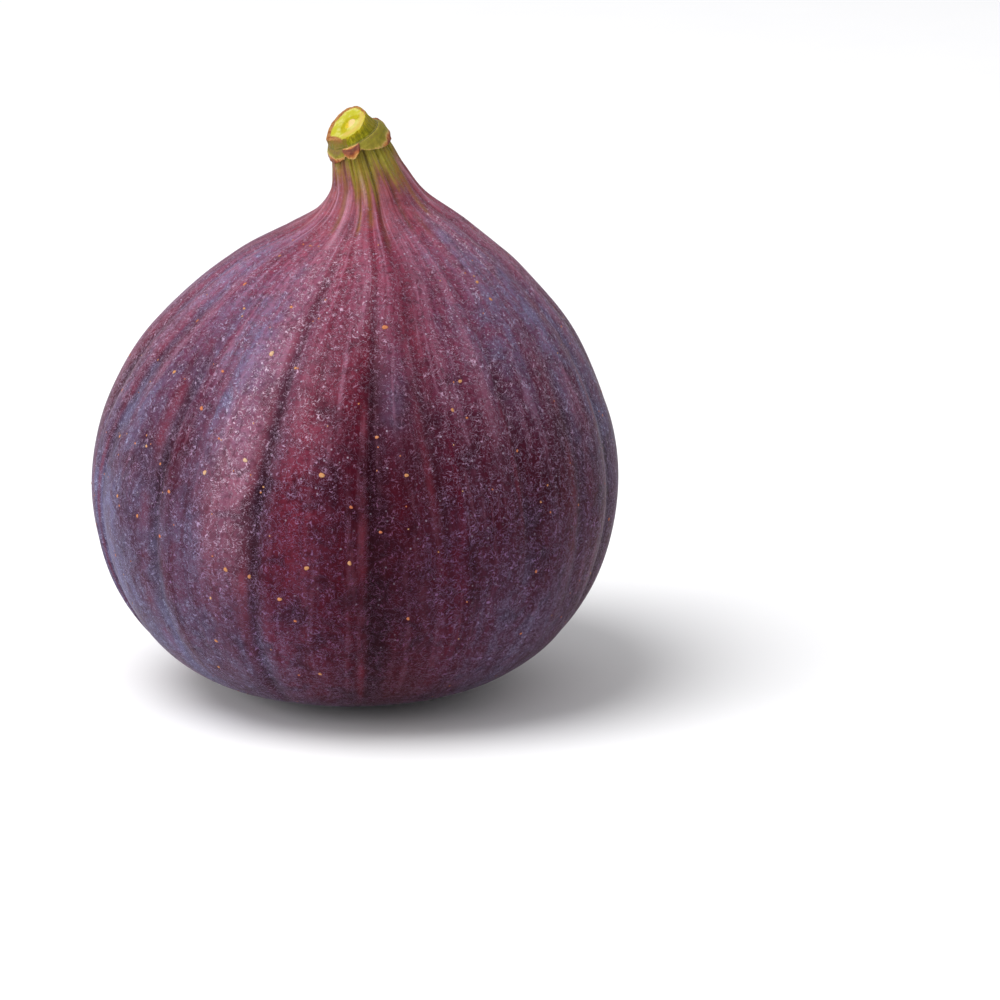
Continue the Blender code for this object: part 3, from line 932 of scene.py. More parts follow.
    # Painted shade beside some furrows and low on the front, with a few dark spots and darker patches round
    # the back.
    shade: tuple[Patch, ...] = patches(
        (-82.8, 0.4, 2.6, 0.16, 0.85), (-83.5, 0.2, 3.0, 0.08, 0.6), (-80.0, 0.33, 4.0, 0.1, 0.45),
        (-109.5, 0.46, 2.2, 0.13, 0.45), (-111.0, 0.28, 2.5, 0.1, 0.15), (-104.5, 0.66, 1.8, 0.1, 0.3),
        (-94.0, 0.5, 3.0, 0.035, 0.4), (-89.0, 0.45, 3.0, 0.03, 0.4), (-98.0, 0.33, 3.5, 0.05, 0.3),
        (-71.0, 0.56, 3.0, 0.12, 0.5), (-77.0, 0.52, 3.0, 0.06, 0.35), (-136.0, 0.5, 4.0, 0.12, 0.3),
        (-138.0, 0.28, 4.0, 0.1, 0.35), (-62.0, 0.78, 2.5, 0.1, 0.32), (-43.0, 0.8, 2.2, 0.09, 0.3),
        (-24.0, 0.78, 3.0, 0.1, 0.3), (-86.0, 0.74, 1.8, 0.07, 0.25), (-98.5, 0.8, 1.6, 0.07, 0.25),
        (-106.0, 0.8, 2.0, 0.07, 0.25), (-123.0, 0.82, 2.0, 0.07, 0.25), (-142.0, 0.8, 2.5, 0.08, 0.28),
        (20.0, 0.45, 4.0, 0.16, 0.5), (76.0, 0.5, 3.5, 0.16, 0.45), (128.0, 0.42, 4.0, 0.16, 0.5),
        (174.0, 0.46, 4.0, 0.16, 0.45),
    )
    # (azimuth, share at which the neck has turned half green)
    green_starts: Table = (
        (10.0, 0.965), (60.0, 0.955), (120.0, 0.96), (178.0, 0.99), (210.0, 0.992), (230.0, 0.998),
        (245.0, 0.988), (253.0, 0.962), (260.0, 0.968), (268.0, 0.957), (280.0, 0.958), (286.0, 0.942),
        (294.0, 0.978), (302.0, 0.975), (310.0, 0.965), (318.0, 0.952), (330.0, 0.958), (345.0, 0.968),
    )
    greens_over: float = 0.07

    def columns(self, share: float) -> np.ndarray:
        """The azimuths of one row's points, closer together in the furrows."""
        starts, _ = self.form.furrows_at(share)
        t = np.arange(self.rib_columns) / self.rib_columns
        u = t - self.gathered * np.sin(2.0 * np.pi * t)
        return (starts[:-1, None] + np.diff(starts)[:, None] * u).ravel()

    def fields_at(self, azimuths: np.ndarray, share: float) -> Fields:
        """What one row of the skin carries for its finish.

        Args:
            azimuths: the azimuths of the row's points.
            share: the row's place along the outline.

        Returns:
            The row's values by field.
        """
        number, crease, depth = self.form.ribs(azimuths, share)
        zones = (self.bloom, self.rose, self.ruby, self.rubbed_and_shaded, self.shade)
        bloom, rose, ruby, rubbed_and_shaded, shade = (marked(zone, azimuths, share) for zone in zones)
        faded = 1.0 - 0.45 * smoothstep(0.6, 0.8, share) - 0.25 * smoothstep(0.88, 0.96, share)
        bloomed = np.clip((0.04 + bloom) * (1.0 - 0.7 * rubbed_and_shaded), 0.0, 0.85)
        flecked = 0.56 + 0.38 * np.clip(rose, 0.0, 1.0) + 0.12 * np.clip(bloom, 0.0, 1.0)
        flecked = flecked * (1.0 - 0.62 * smoothstep(0.80, 0.95, share))
        starts = np.interp(azimuths % 360.0, *np.array(self.green_starts).T, period=360.0)
        green = (share - starts + 0.004) / self.greens_over + 0.5
        held = {"rose": rose, "ruby": ruby, "shade": shade, "rubbed_and_shaded": rubbed_and_shaded, "green": green}
        return {
            "grain": streak_place(2.0 * np.pi * number / len(self.form.furrows), self.streak_length * share),
            "up": np.full_like(azimuths, share),
            "crease": crease * np.clip(depth / 0.8, 0.0, 1.0) * faded,
            "bloom": bloomed * (1.0 - smoothstep(0.84, 0.96, share)),
            "lip": bell(number % 1.0 - 0.84, 0.06) * np.clip(depth / 0.5 - 0.4, 0.0, 1.0),
            "flecked": flecked * (1.0 - 0.4 * np.clip(rubbed_and_shaded, 0.0, 1.0)),
            **{name: np.clip(value, 0.0, 1.0) for name, value in held.items()},
            **{tone.value: self.form.toned(tone, azimuths, share) for tone in Tone},
        }

    def build(self) -> Surface:
        """The skin as one closed surface."""
        low = self.columns(0.0)
        middle = self.form.placed(np.zeros(3), 0.0)
        rows, fields = [], []
        for radius, height in reversed(self.eye_recess):
            pucker = self.pucker_share * np.cos(np.radians(low) * self.eye_puckers)
            pucker = 1.0 + pucker * smoothstep(0.0, 1.2, height)
            rows.append(middle + on_circle(radius * pucker, low, height))
        rows += [middle + on_circle(radius, low, 0.0) for radius in reversed(self.rest_spot_radii)]
        fields += [self.fields_at(low, 0.0)] * len(rows)
        body = np.linspace(0.0, self.neck_starts, self.body_rows, endpoint=False)
        for share in (*body, *np.linspace(self.neck_starts, 1.0, self.neck_rows)):
            azimuths = self.columns(share)
            rows.append(self.form.skin(azimuths, share))
            fields.append(self.fields_at(azimuths, share))
        top = self.columns(1.0)
        groove = self.relief_under_stem * self.form.relief(top, 1.0)
        rows += [self.joint.points(radius + groove, top, height) for radius, height in self.under_stem]
        fields += [self.fields_at(top, 1.0)] * len(self.under_stem)
        eye, neck = middle + (0.0, 0.0, self.eye_depth), self.joint.points(0.0, 0.0, self.under_stem[-1][1])
        return Surface.loft(np.stack(rows), stacked(fields), eye, neck)

    def dress(self, workshop: Workshop, finish: SkinFinish) -> bpy.types.Object:
        """The skin as a piece in its finish."""
        return workshop.deliver(self.build(), "fig_skin", finish.material(), Slot.SKIN, "fruit")


@dataclass(frozen=True)
class LenticelFinish:
    """Corky dots, from cream to orange-tan, darker round their edges."""

    tones: Stops = ((0.0, (196, 168, 138)), (0.5, (184, 130, 80)), (1.0, (176, 98, 58)))
    edge: Paint = (100, 48, 48)

    def material(self) -> bpy.types.Material:
        """The dots' material."""
        g = Graph("lenticel_cork")
        grit = g.noise(g.place(), 5200.0, 3.0)
        warm = g.plus(g.field("warm"), g.ease(grit, 0.3, 0.7, -0.15, 0.15))
        rim = g.ease(g.field("rim"), 0.35, 1.0, 0.0, 0.75)
        return g.surface(
            Base_Color=g.coated(g.ramp(warm, self.tones), (self.edge, rim)),
            Roughness=g.ease(grit, 0.3, 0.7, 0.6, 0.85),
            Normal=g.bump(grit, 0.03),
        )


@dataclass
class Lenticels:
    """The small raised cork dots that are scattered over the skin."""

    form: FruitForm
    # (azimuth, share, radius, warmth)
    large: Table = (
        (-82.1, 0.714, 0.29, 0.9), (-114.9, 0.669, 0.29, 0.2), (-96.2, 0.511, 0.29, 0.5),
        (-123.8, 0.5, 0.24, 0.3), (-114.2, 0.523, 0.24, 0.1), (-156.0, 0.512, 0.21, 0.5),
        (-129.4, 0.581, 0.24, 1.0), (-144.0, 0.618, 0.21, 0.6), (-117.1, 0.377, 0.24, 0.6),
        (-98.8, 0.389, 0.24, 0.5), (-89.8, 0.397, 0.23, 0.5), (-104.9, 0.343, 0.23, 0.6),
        (-112.1, 0.369, 0.21, 0.7), (-135.2, 0.404, 0.21, 1.0), (-142.8, 0.422, 0.19, 0.8),
        (-132.6, 0.467, 0.21, 0.9), (-150.5, 0.439, 0.19, 0.6), (-123.2, 0.262, 0.21, 0.8),
        (-127.2, 0.205, 0.19, 0.6), (-97.4, 0.217, 0.21, 0.6), (-41.1, 0.769, 0.21, 0.6),
        (-39.9, 0.738, 0.21, 0.7), (-62.1, 0.627, 0.21, 0.5), (-65.6, 0.59, 0.19, 0.7),
        (-77.8, 0.51, 0.21, 0.6), (-144.1, 0.761, 0.23, 1.0), (-115.9, 0.741, 0.19, 0.8),
        (-151.8, 0.689, 0.21, 0.9),
    )
    scattered: int = 240
    # Of the scattered dots: the mean share and its spread, the lowest and highest share, the least radius
    # and how much chance can add to it, and the least and greatest warmth.
    usual_share: tuple[float, float] = (0.5, 0.19)
    share_limits: tuple[float, float] = (0.08, 0.86)
    small_radius: tuple[float, float] = (0.08, 0.11)
    small_warmth: tuple[float, float] = (0.4, 1.3)
    seed: int = 7
    sides: int = 9
    # (radius, rise), both in the dot's radius
    profile: Table = ((1.15, -0.12), (0.9, 0.10), (0.5, 0.24))
    # How much of the dark rim each ring of the profile shows.
    rims: tuple[float, ...] = (1.0, 0.55, 0.1)
    # The peak's rise and the foot's depth in the dot's radius, and how uneven its outline is.
    peak: float = 0.3
    sunk: float = 0.15
    oval: float = 0.16
    three_sided: float = 0.09
    skew_step: float = 1.7
    # How far beside a dot in degrees, and above it as a share, the skin is read for its slope.
    slope_reach: tuple[float, float] = (0.3, 0.003)

    def places(self) -> list[tuple[float, ...]]:
        """The large dots, then small ones strewn all round the fruit."""
        draw = np.random.default_rng(self.seed)
        found = list(self.large)
        least, more = self.small_radius
        for _ in range(self.scattered):
            share = float(np.clip(draw.normal(*self.usual_share), *self.share_limits))
            size = least + more * draw.random() ** 3
            azimuth = float(draw.uniform(-180.0, 180.0))
            found.append((azimuth, share, size, float(draw.uniform(*self.small_warmth))))
        return found

    def dot(self, azimuth: float, share: float, radius: float, warmth: float, skew: float) -> Surface:
        """One low dome on the skin.

        Args:
            azimuth: where it lies round the fruit.
            share: where it lies along the outline.
            radius: its radius.
            warmth: from cream at 0 to orange at 1.
            skew: how its outline is turned, in radians.

        Returns:
            The dome, closed underneath.
        """
        aside, up = self.slope_reach
        here, beside = self.form.skin(np.array([azimuth, azimuth + aside]), share)
        above = self.form.skin(np.array([azimuth]), share + up)[0]
        east = (beside - here) / np.linalg.norm(beside - here)
        out = np.cross(east, above - here)
        out /= np.linalg.norm(out)
        north = np.cross(out, east)
        angles = 2.0 * np.pi * np.arange(self.sides) / self.sides
        uneven = 1.0 + self.oval * np.cos(2.0 * (angles + skew))
        uneven = uneven + self.three_sided * np.cos(3.0 * angles + 2.0 * skew)
        spread = np.cos(angles)[:, None] * east + np.sin(angles)[:, None] * north
        spread = radius * spread * uneven[:, None]
        rows = np.stack([here + spread * size + out * radius * rise for size, rise in self.profile])
        rim = np.array(self.rims)[:, None] * np.ones(self.sides)
        fields = {"rim": rim, "warm": np.full_like(rim, warmth)}
        return Surface.loft(rows, fields, here - self.sunk * radius * out, here + self.peak * radius * out)

    def dress(self, workshop: Workshop, finish: LenticelFinish) -> bpy.types.Object:
        """All the dots as one piece in their finish."""
        places = enumerate(self.places())
        dots = [self.dot(*place, skew=self.skew_step * number) for number, place in places]
        return workshop.deliver(Surface.joined(dots), "lenticels", finish.material(), Slot.SKIN)


@dataclass(frozen=True)
class StemFinish:
    """Fresh green stalk with a browned rim, a lime cut face, a green ring and a pale pith."""

    wall_stops: Stops = ((0.3, (106, 104, 2)), (0.5, (124, 120, 4)), (0.7, (160, 152, 26)))
    lit: Paint = (200, 182, 4)
    shaded: Paint = (132, 112, 44)
    sheath_stops: Stops = (
        (0.0, (92, 90, 28)), (0.4, (112, 94, 30)), (0.75, (118, 86, 38)), (1.0, (130, 84, 44)),
    )
    cut: Paint = (170, 166, 36)
    cut_pale: Paint = (196, 190, 110)
    cream: Paint = (188, 160, 80)
    ring: Paint = (166, 156, 0)
    pith: Paint = (212, 184, 124)
    core: Paint = (196, 170, 24)
    rim: Paint = (128, 70, 26)
    rim_dry: Paint = (168, 122, 72)
    seam: Paint = (150, 146, 104)
    # Dark olive in the hollow just above the stub's flared foot: painted shade.
    groove_shade: Paint = (64, 62, 14)

    def material(self) -> bpy.types.Material:
        """The stem's material, which reads the fields that its mesh carries."""
        g = Graph("green_stem")
        place, grain = g.place(), g.field("grain", "Vector")
        threads = g.noise(grain, 16.0, 3.0, 0.1)
        grit = g.noise(place, 2600.0, 3.0, 0.4)
        smudge = g.noise(place, 1100.0, 3.0, 0.4)
        ragged = g.ease(smudge, 0.3, 0.7, -0.25, 0.25)
        sheath = g.ramp(g.plus(g.field("height"), ragged), self.sheath_stops)
        worn = g.plus(g.field("sheath"), g.ease(threads, 0.35, 0.65, -0.35, 0.15))
        wall = g.coated(
            g.ramp(threads, self.wall_stops),
            (self.lit, g.field("lit"), g.ease(threads, 0.35, 0.65, 0.3, 0.9)),
            (self.shaded, g.field("shaded"), g.ease(threads, 0.35, 0.65, 0.35, 0.7)),
            (sheath, g.ease(worn, 0.2, 0.9, 0.0, 0.95)),
            # Painted shade in the hollow above the foot.
            (self.groove_shade, g.field("groove")),
            (self.seam, g.ease(g.field("seam"), 0.3, 1.0, 0.0, 0.7)),
        )
        cut = g.coated(
            self.cut,
            (self.cut_pale, g.ease(smudge, 0.42, 0.62, 0.0, 0.7)),
            (self.cream, g.field("cream")),
            (self.ring, g.ease(g.field("ring"), 0.15, 0.75)),
            (g.coated(self.pith, (self.core, g.field("core"))), g.ease(g.field("pith"), 0.2, 0.8)),
        )
        rim = g.coated(self.rim, (self.rim_dry, g.ease(grit, 0.35, 0.65, 0.1, 0.8)))
        browned = g.ease(g.plus(g.field("rim"), ragged), 0.25, 0.8)
        return g.surface(
            Base_Color=g.coated(wall, (cut, g.field("face")), (rim, browned)),
            Roughness=g.ease(grit, 0.3, 0.7, 0.34, 0.56),
            Normal=g.bump(g.plus(g.times(threads, 0.8), g.times(grit, 0.4)), 0.09),
            Specular_IOR_Level=0.15,
            Subsurface_Weight=0.12,
            Subsurface_Radius=(0.6, 0.7, 0.15),
            Subsurface_Scale=0.0015,
        )


@dataclass
class StemStub:
    """The short stub of stem on the joint, cut off at a slant, with a dry sheath up its left side."""

    joint: Joint
    foot_height: float = 1.2
    foot_radius: float = 2.84
    inner_radius: float = 2.3
    sunk: float = 0.05
    # The cut's middle over the joint, as (right, back, up) leaned with it.
    cut_at: tuple[float, float, float] = (-0.146, -0.032, 2.677)
    cut_normal: tuple[float, float, float] = (-0.555, -0.385, 0.74)
    # (azimuth, how far the cut's edge lies from the joint's axis)
    rim: Table = (
        (28.0, 2.1), (58.0, 2.24), (91.0, 2.37), (123.0, 2.3), (155.0, 2.36), (176.0, 2.52), (192.0, 2.76),
        (206.0, 2.56), (223.0, 2.32), (259.0, 2.46), (279.0, 2.68), (305.0, 2.76), (332.0, 2.45),
    )
    # (waves round the rim, strength, how late the first one starts)
    rim_waves: Table = ((7, 0.012, 1.0), (13, 0.010, 0.0), (29, 0.006, 0.0))
    rim_smoothing: int = 13
    sheath_from: float = -212.0
    sheath_to: float = -99.0
    sheath_fade: float = 10.0
    sheath_thickness: float = 0.07
    striae: int = 30
    stria_depth: float = 0.035
    flare: float = 0.10
    waist: float = 0.10
    columns: int = 240
    wall_rows: int = 22
    # (share of the cut's radius, rise over the cut)
    face_rings: Table = (
        (1.0, 0.0), (0.97, 0.05), (0.93, 0.04), (0.89, -0.01),
        *((0.855 - 0.035 * step, -0.03) for step in range(24)),
    )
    # On the cut, (right, up) from its middle.
    heart: tuple[float, float] = (0.55, -0.38)
    pith_radius: float = 0.62
    pith_rise: float = 0.06
    ring_radius: float = 1.0
    ring_depth: float = 0.16
    cream_radius: float = 1.5
    groove_radius: float = 1.85
    groove_depth: float = 0.05
    dish: float = 0.03
    # The fields that every ring carries besides its grain.
    names: tuple[str, ...] = (
        "lit", "shaded", "sheath", "height", "groove", "seam", "cream", "ring", "pith", "core", "face", "rim"
    )

    def __post_init__(self) -> None:
        """Finds the cut and its edge, and how the stub is marked at each azimuth."""
        self.azimuths = np.arange(self.columns) * 360.0 / self.columns
        self.angles = np.radians(self.azimuths)
        self.middle = self.joint.middle + self.joint.turned(np.array(self.cut_at))
        self.normal = np.array(self.cut_normal) / np.linalg.norm(self.cut_normal)
        self.edge = self.rim_points()
        half = (self.sheath_to - self.sheath_from) / 2.0
        off = abs(apart(self.azimuths, self.sheath_from + half))
        self.sheath = smoothstep(half + self.sheath_fade, half - self.sheath_fade, off)
        self.left = toward(-0.3, 0.7, self.azimuths, 160.0)
        self.bare_edge = 0.8 * toward(0.3, 0.85, self.azimuths, -72.0)

    def rim_points(self) -> np.ndarray:
        """The points of the cut's edge above each azimuth of the foot."""
        radius = np.interp(self.azimuths % 360.0, *np.array(self.rim).T, period=360.0)
        beyond = self.rim_smoothing // 2
        around = np.r_[radius[-beyond:], radius, radius[:beyond]]
        radius = np.convolve(around, np.ones(self.rim_smoothing) / self.rim_smoothing, "valid")
        waved = sum(part * np.cos(waves * self.angles + late) for waves, part, late in self.rim_waves)
        level = self.joint.points(radius * (1.0 + waved), self.azimuths, 0.0)
        rise = (self.middle - level) @ self.normal / (self.joint.axis @ self.normal)
        return level + np.outer(rise, self.joint.axis)

    def carried(self, along: float, **given: Reals) -> Fields:
        """One ring's fields, with 0 for those that aren't given.

        Args:
            along: the ring's place from the foot at 0 to the cut at 1.
            given: the values of some fields, by name.

        Returns:
            The ring's values by field.
        """
        held = {name: np.ones(self.columns) * given.get(name, 0.0) for name in self.names}
        return {"grain": streak_place(self.angles, 0.12 * along), **held}

    def wall(self) -> list[Ring]:
        """The wall's rings and what each one carries, from inside its foot up to the rim."""
        off = apart(self.azimuths, 0.0)
        shaded = smoothstep(-55.0, -15.0, off) * smoothstep(140.0, 100.0, off)
        seamed = toward(-0.1, 0.35, self.azimuths, -15.0)
        stria = self.stria_depth * np.cos(self.striae * self.angles + 1.5 * np.sin(3 * self.angles))
        outward = self.joint.turned(on_circle(1.0, self.azimuths, 0.0))
        foot = self.joint.points(self.foot_radius, self.azimuths, self.foot_height)
        inside = self.joint.points(self.inner_radius, self.azimuths, self.foot_height - self.sunk)
        rings = [(inside, self.carried(0.0, sheath=self.sheath))]
        for t in np.linspace(0.0, 1.0, self.wall_rows) ** 0.9:
            out = stria * min(1.0, 5.0 * t) * (1.0 - 0.7 * self.sheath)
            out = out + self.flare * bell(t, 0.07) * seamed
            out = out - self.waist * math.sin(math.pi * t) * (1.0 - 0.8 * self.sheath)
            out = out + self.sheath * self.sheath_thickness * float(smoothstep(1.0, 0.9, t))
            carried = self.carried(
                t,
                lit=float(smoothstep(0.45, 1.0, t)) * (1.0 - self.sheath),
                shaded=shaded,
                sheath=self.sheath,
                height=t,
                groove=0.75 * bell(t - 0.10, 0.035) * seamed,
                seam=bell(t, 0.05) * seamed,
                rim=float(smoothstep(0.86, 1.0, t)) * (0.45 + 0.55 * self.left) * (1.0 - self.bare_edge),
            )
            rings.append((foot + (self.edge - foot) * t + outward * out[:, None], carried))
        return rings

    def face(self) -> list[Ring]:
        """The cut face's rings and what each one carries, from the rim inward."""
        right = np.array([1.0, 0.0, 0.0]) - self.normal[0] * self.normal
        right /= np.linalg.norm(right)
        sides = (right, np.cross(self.normal, right))
        right_side = toward(0.3, 0.9, self.azimuths, 12.0)
        corner = bell(apart(self.azimuths, -160.0), 34.0)
        ripple = 1.0 + 0.5 * np.sin(9 * self.angles + 2.0)
        fringe_from = 0.90 - 0.20 * self.left - 0.09 * right_side
        fringe_to = 0.98 - 0.08 * self.left - 0.04 * right_side
        rings = []
        for size, rise in self.face_rings:
            flat = (self.edge - self.middle) * size
            off_x, off_y = (flat @ side - start for side, start in zip(sides, self.heart))
            off, about = np.hypot(off_x, off_y), np.degrees(np.arctan2(off_y, off_x))
            upper_left = smoothstep(125.0, 95.0, abs(apart(about, 128.0)))
            lower_right = smoothstep(100.0, 65.0, abs(apart(about, -45.0)))
            ring = bell(off - self.ring_radius, 0.34) * upper_left
            pith = smoothstep(self.pith_radius + 0.2, self.pith_radius - 0.12, off)
            fringe = smoothstep(fringe_from, fringe_to, size)
            browned = fringe * (0.75 + 0.3 * self.left) * (1.0 - 0.7 * self.bare_edge)
            out = rise * ripple * (1.0 - 0.6 * self.bare_edge)
            out = out - self.ring_depth * ring + self.pith_rise * pith
            out = out - self.groove_depth * bell(off - self.groove_radius, 0.2) * lower_right
            carried = self.carried(
                1.0,
                cream=0.85 * bell(off - self.cream_radius, 0.42) * lower_right,
                ring=ring,
                pith=pith,
                core=smoothstep(0.1, -0.35, off_x),
                face=1.0 - 0.3 * fringe * (1.0 - self.bare_edge),
                lit=1.0 - self.sheath,
                sheath=self.sheath,
                height=1.0,
                rim=browned + corner * float(smoothstep(0.72, 0.95, size)),
            )
            rings.append((self.middle + flat + out[:, None] * self.normal, carried))
        return rings

    def build(self) -> Surface:
        """The stub's wall, its rim and its cut face as one closed surface."""
        rows, fields = zip(*self.wall(), *self.face())
        under = self.joint.points(0.0, 0.0, self.foot_height - self.sunk)
        return Surface.loft(np.stack(rows), stacked(fields), under, self.middle - self.dish * self.normal)

    def dress(self, workshop: Workshop, finish: StemFinish) -> bpy.types.Object:
        """The stub as a piece in its finish."""
        return workshop.deliver(self.build(), "stem_stub", finish.material(), Slot.STEM, "stem")


@dataclass(frozen=True)
class BractFinish:
    """Papery scale leaves, from fresh olive through cream and tan to red-brown where they have dried."""

    stops: Stops = (
        (0.0, (112, 88, 34)), (0.2, (120, 112, 18)), (0.4, (148, 134, 44)), (0.55, (190, 152, 86)),
        (0.7, (172, 108, 52)), (0.85, (136, 68, 32)), (1.0, (92, 38, 22)),
    )
    vein: Paint = (96, 88, 30)

    def material(self) -> bpy.types.Material:
        """The bracts' material, which reads how dry each place is."""
        g = Graph("dry_bract")
        grit = g.noise(g.place(), 2400.0, 3.0, 0.5)
        veins = g.noise(g.field("grain", "Vector"), 20.0, 3.0, 0.2)
        dry = g.plus(g.field("dry"), g.ease(grit, 0.3, 0.7, -0.08, 0.08))
        return g.surface(
            Base_Color=g.coated(g.ramp(dry, self.stops), (self.vein, g.ease(veins, 0.52, 0.75, 0.0, 0.35))),
            Roughness=g.ease(grit, 0.3, 0.7, 0.48, 0.72),
            Normal=g.bump(g.plus(g.times(veins, 0.8), g.times(grit, 0.5)), 0.08),
            Specular_IOR_Level=0.3,
            Subsurface_Weight=0.08,
            Subsurface_Radius=(0.7, 0.5, 0.2),
            Subsurface_Scale=0.001,
        )


@dataclass(frozen=True)
class Bract:
    """One scale leaf round the joint, set out by stations of azimuth."""

    # (azimuth, how far it reaches below its root, how far its edge lifts, how dry its edge is)
    stations: Table
    # (place from root to edge, how dry it is there)
    along: Table
    # How ragged its edge is, how fully it follows the profile, how far it bulges in the middle and how far
    # above its root it begins.
    teeth: float = 0.03
    fullness: float = 1.0
    bulge: float = 0.0
    tuck: float = 0.0
    seed: int = 1


@dataclass
class BractLeaves:
    """The thin leaves that grow from the joint and hang over the neck's top."""

    joint: Joint
    root_height: float = 1.2
    root_radius: float = 2.9
    thickness: float = 0.11
    # (depth below the joint, radius)
    profile: Table = ((0.0, 2.9), (0.2, 3.16), (0.6, 3.44), (1.6, 3.6), (2.3, 3.62))
    columns_per_degree: float = 1.3
    rows: int = 18
    edge_at: float = 0.98
    least_reach: float = 0.06
    ripples: int = 19
    ripple_height: float = 0.035
    # How much drier a leaf's two sides are, and over how many degrees.
    side_dryness: float = 0.3
    side_width: float = 5.0
    leaves: tuple[Bract, ...] = (
        Bract(
            (
                (-84, 0.25, 0.02, 0.5), (-78, 0.62, 0.03, 0.52), (-66, 1.1, 0.04, 0.52),
                (-52, 1.5, 0.05, 0.56), (-40, 1.8, 0.06, 0.64), (-30, 1.95, 0.05, 0.8),
                (-20, 2.02, 0.04, 0.92), (-6, 1.96, 0.03, 0.94), (8, 1.66, 0.04, 0.84),
                (22, 1.14, 0.1, 0.68), (34, 0.68, 0.22, 0.92), (46, 0.44, 0.42, 1.0), (56, 0.34, 0.42, 0.95),
                (66, 0.18, 0.2, 0.8),
            ),
            ((0.0, 0.50), (0.06, 0.16), (0.16, 0.16), (0.4, 0.24), (0.75, 0.34), (1.0, 0.48)),
            teeth=0.03,
            fullness=0.9,
            seed=3,
        ),
        Bract(
            (
                (-99, 0.12, 0.0, 0.45), (-104, 0.46, 0.02, 0.52), (-112, 0.9, 0.03, 0.55),
                (-120, 1.06, 0.04, 0.64), (-132, 1.32, 0.05, 0.84), (-146, 1.4, 0.06, 0.97),
                (-162, 1.28, 0.07, 1.0), (-178, 1.14, 0.1, 1.0), (-194, 1.2, 0.12, 1.0),
                (-206, 0.8, 0.06, 0.9), (-213, 0.2, 0.02, 0.7),
            )[::-1],
            ((0.0, 0.04), (0.3, 0.02), (0.6, 0.20), (0.82, 0.46), (1.0, 0.70)),
            teeth=0.09,
            fullness=0.72,
            tuck=0.22,
            seed=5,
        ),
        Bract(
            (
                (-113, 0.3, 0.05, 0.6), (-106, 0.8, 0.2, 0.6), (-96, 1.22, 0.34, 0.54),
                (-88, 0.98, 0.3, 0.6), (-80, 0.62, 0.2, 0.88), (-76, 0.15, 0.05, 0.95),
            ),
            ((0.0, 0.52), (0.10, 0.64), (0.2, 1.0), (0.5, 0.95), (0.74, 0.76), (0.9, 0.6), (1.0, 0.55)),
            teeth=0.07,
            fullness=0.85,
            bulge=0.12,
            seed=8,
        ),
        Bract(
            (
                (58, 0.3, 0.05, 0.7), (72, 1.1, 0.1, 0.75), (98, 1.75, 0.12, 0.85), (126, 1.6, 0.1, 0.95),
                (140, 1.05, 0.06, 0.8), (150, 0.3, 0.02, 0.7),
            ),
            ((0.0, 0.3), (0.5, 0.25), (0.8, 0.42), (1.0, 0.7)),
            teeth=0.06,
            seed=13,
        ),
    )

    def leaf(self, bract: Bract) -> Surface:
        """One leaf, as thin as paper, with a ragged edge.

        Args:
            bract: the leaf's stations and manner.

        Returns:
            The closed leaf.
        """
        draw = np.random.default_rng(bract.seed)
        curve, _ = smooth_curve(bract.stations, 12)
        count = max(16, int((curve[-1, 0] - curve[0, 0]) * self.columns_per_degree))
        azimuths = np.linspace(curve[0, 0], curve[-1, 0], count)
        reach, lift, dry = (np.interp(azimuths, curve[:, 0], curve[:, k]) for k in (1, 2, 3))
        knots = count // 3
        rough = np.interp(azimuths, np.linspace(azimuths[0], azimuths[-1], knots), draw.uniform(-1, 1, knots))
        sharp = draw.uniform(-1.0, 1.0, count)
        reach = np.maximum(reach + bract.teeth * (rough + 0.6 * sharp), self.least_reach)
        ends = np.minimum(azimuths - azimuths[0], azimuths[-1] - azimuths)
        side = self.side_dryness * bell(ends, self.side_width)
        width = 0.52 * dry**2 + 0.28 * smoothstep(0.86, 1.0, dry)
        depths, radii = np.array(self.profile).T
        places, dryness = np.array(bract.along).T
        angle = np.radians(azimuths)
        outer, inner, values, grains = [], [], [], []
        for s in np.linspace(0.0, 1.0, self.rows) ** 0.85:
            depth = (reach + bract.tuck) * s - bract.tuck
            spread = (np.interp(depth, depths, radii) - self.root_radius) * bract.fullness
            radius = self.root_radius + spread - 0.5 * np.maximum(-depth, 0.0)
            ripple = self.ripple_height * np.cos(angle * self.ripples + 3 * s) * s
            radius = radius + lift * s**2 + ripple + bract.bulge * math.sin(math.pi * s)
            thick = self.thickness * (1.0 - 0.45 * s)
            height = self.root_height - depth
            outer.append(self.joint.points(radius, azimuths, height))
            inner.append(self.joint.points(radius - thick, azimuths, height - 0.3 * thick))
            here = float(np.interp(s, places, dryness))
            edge = smoothstep(self.edge_at - width, self.edge_at, s)
            values.append(np.clip(here + (dry - here) * edge + side * s, 0.0, 1.0))
            grains.append(streak_place(angle, 0.1 * s))
        fields = {"dry": np.stack(values), "grain": np.stack(grains)}
        return Surface.leaf(np.stack(outer), np.stack(inner), fields)

    def dress(self, workshop: Workshop, finish: BractFinish) -> bpy.types.Object:
        """All the leaves as one piece in their finish."""
        whole = Surface.joined([self.leaf(bract) for bract in self.leaves])
        return workshop.deliver(whole, "bract_leaves", finish.material(), Slot.BRACTS, "bracts")


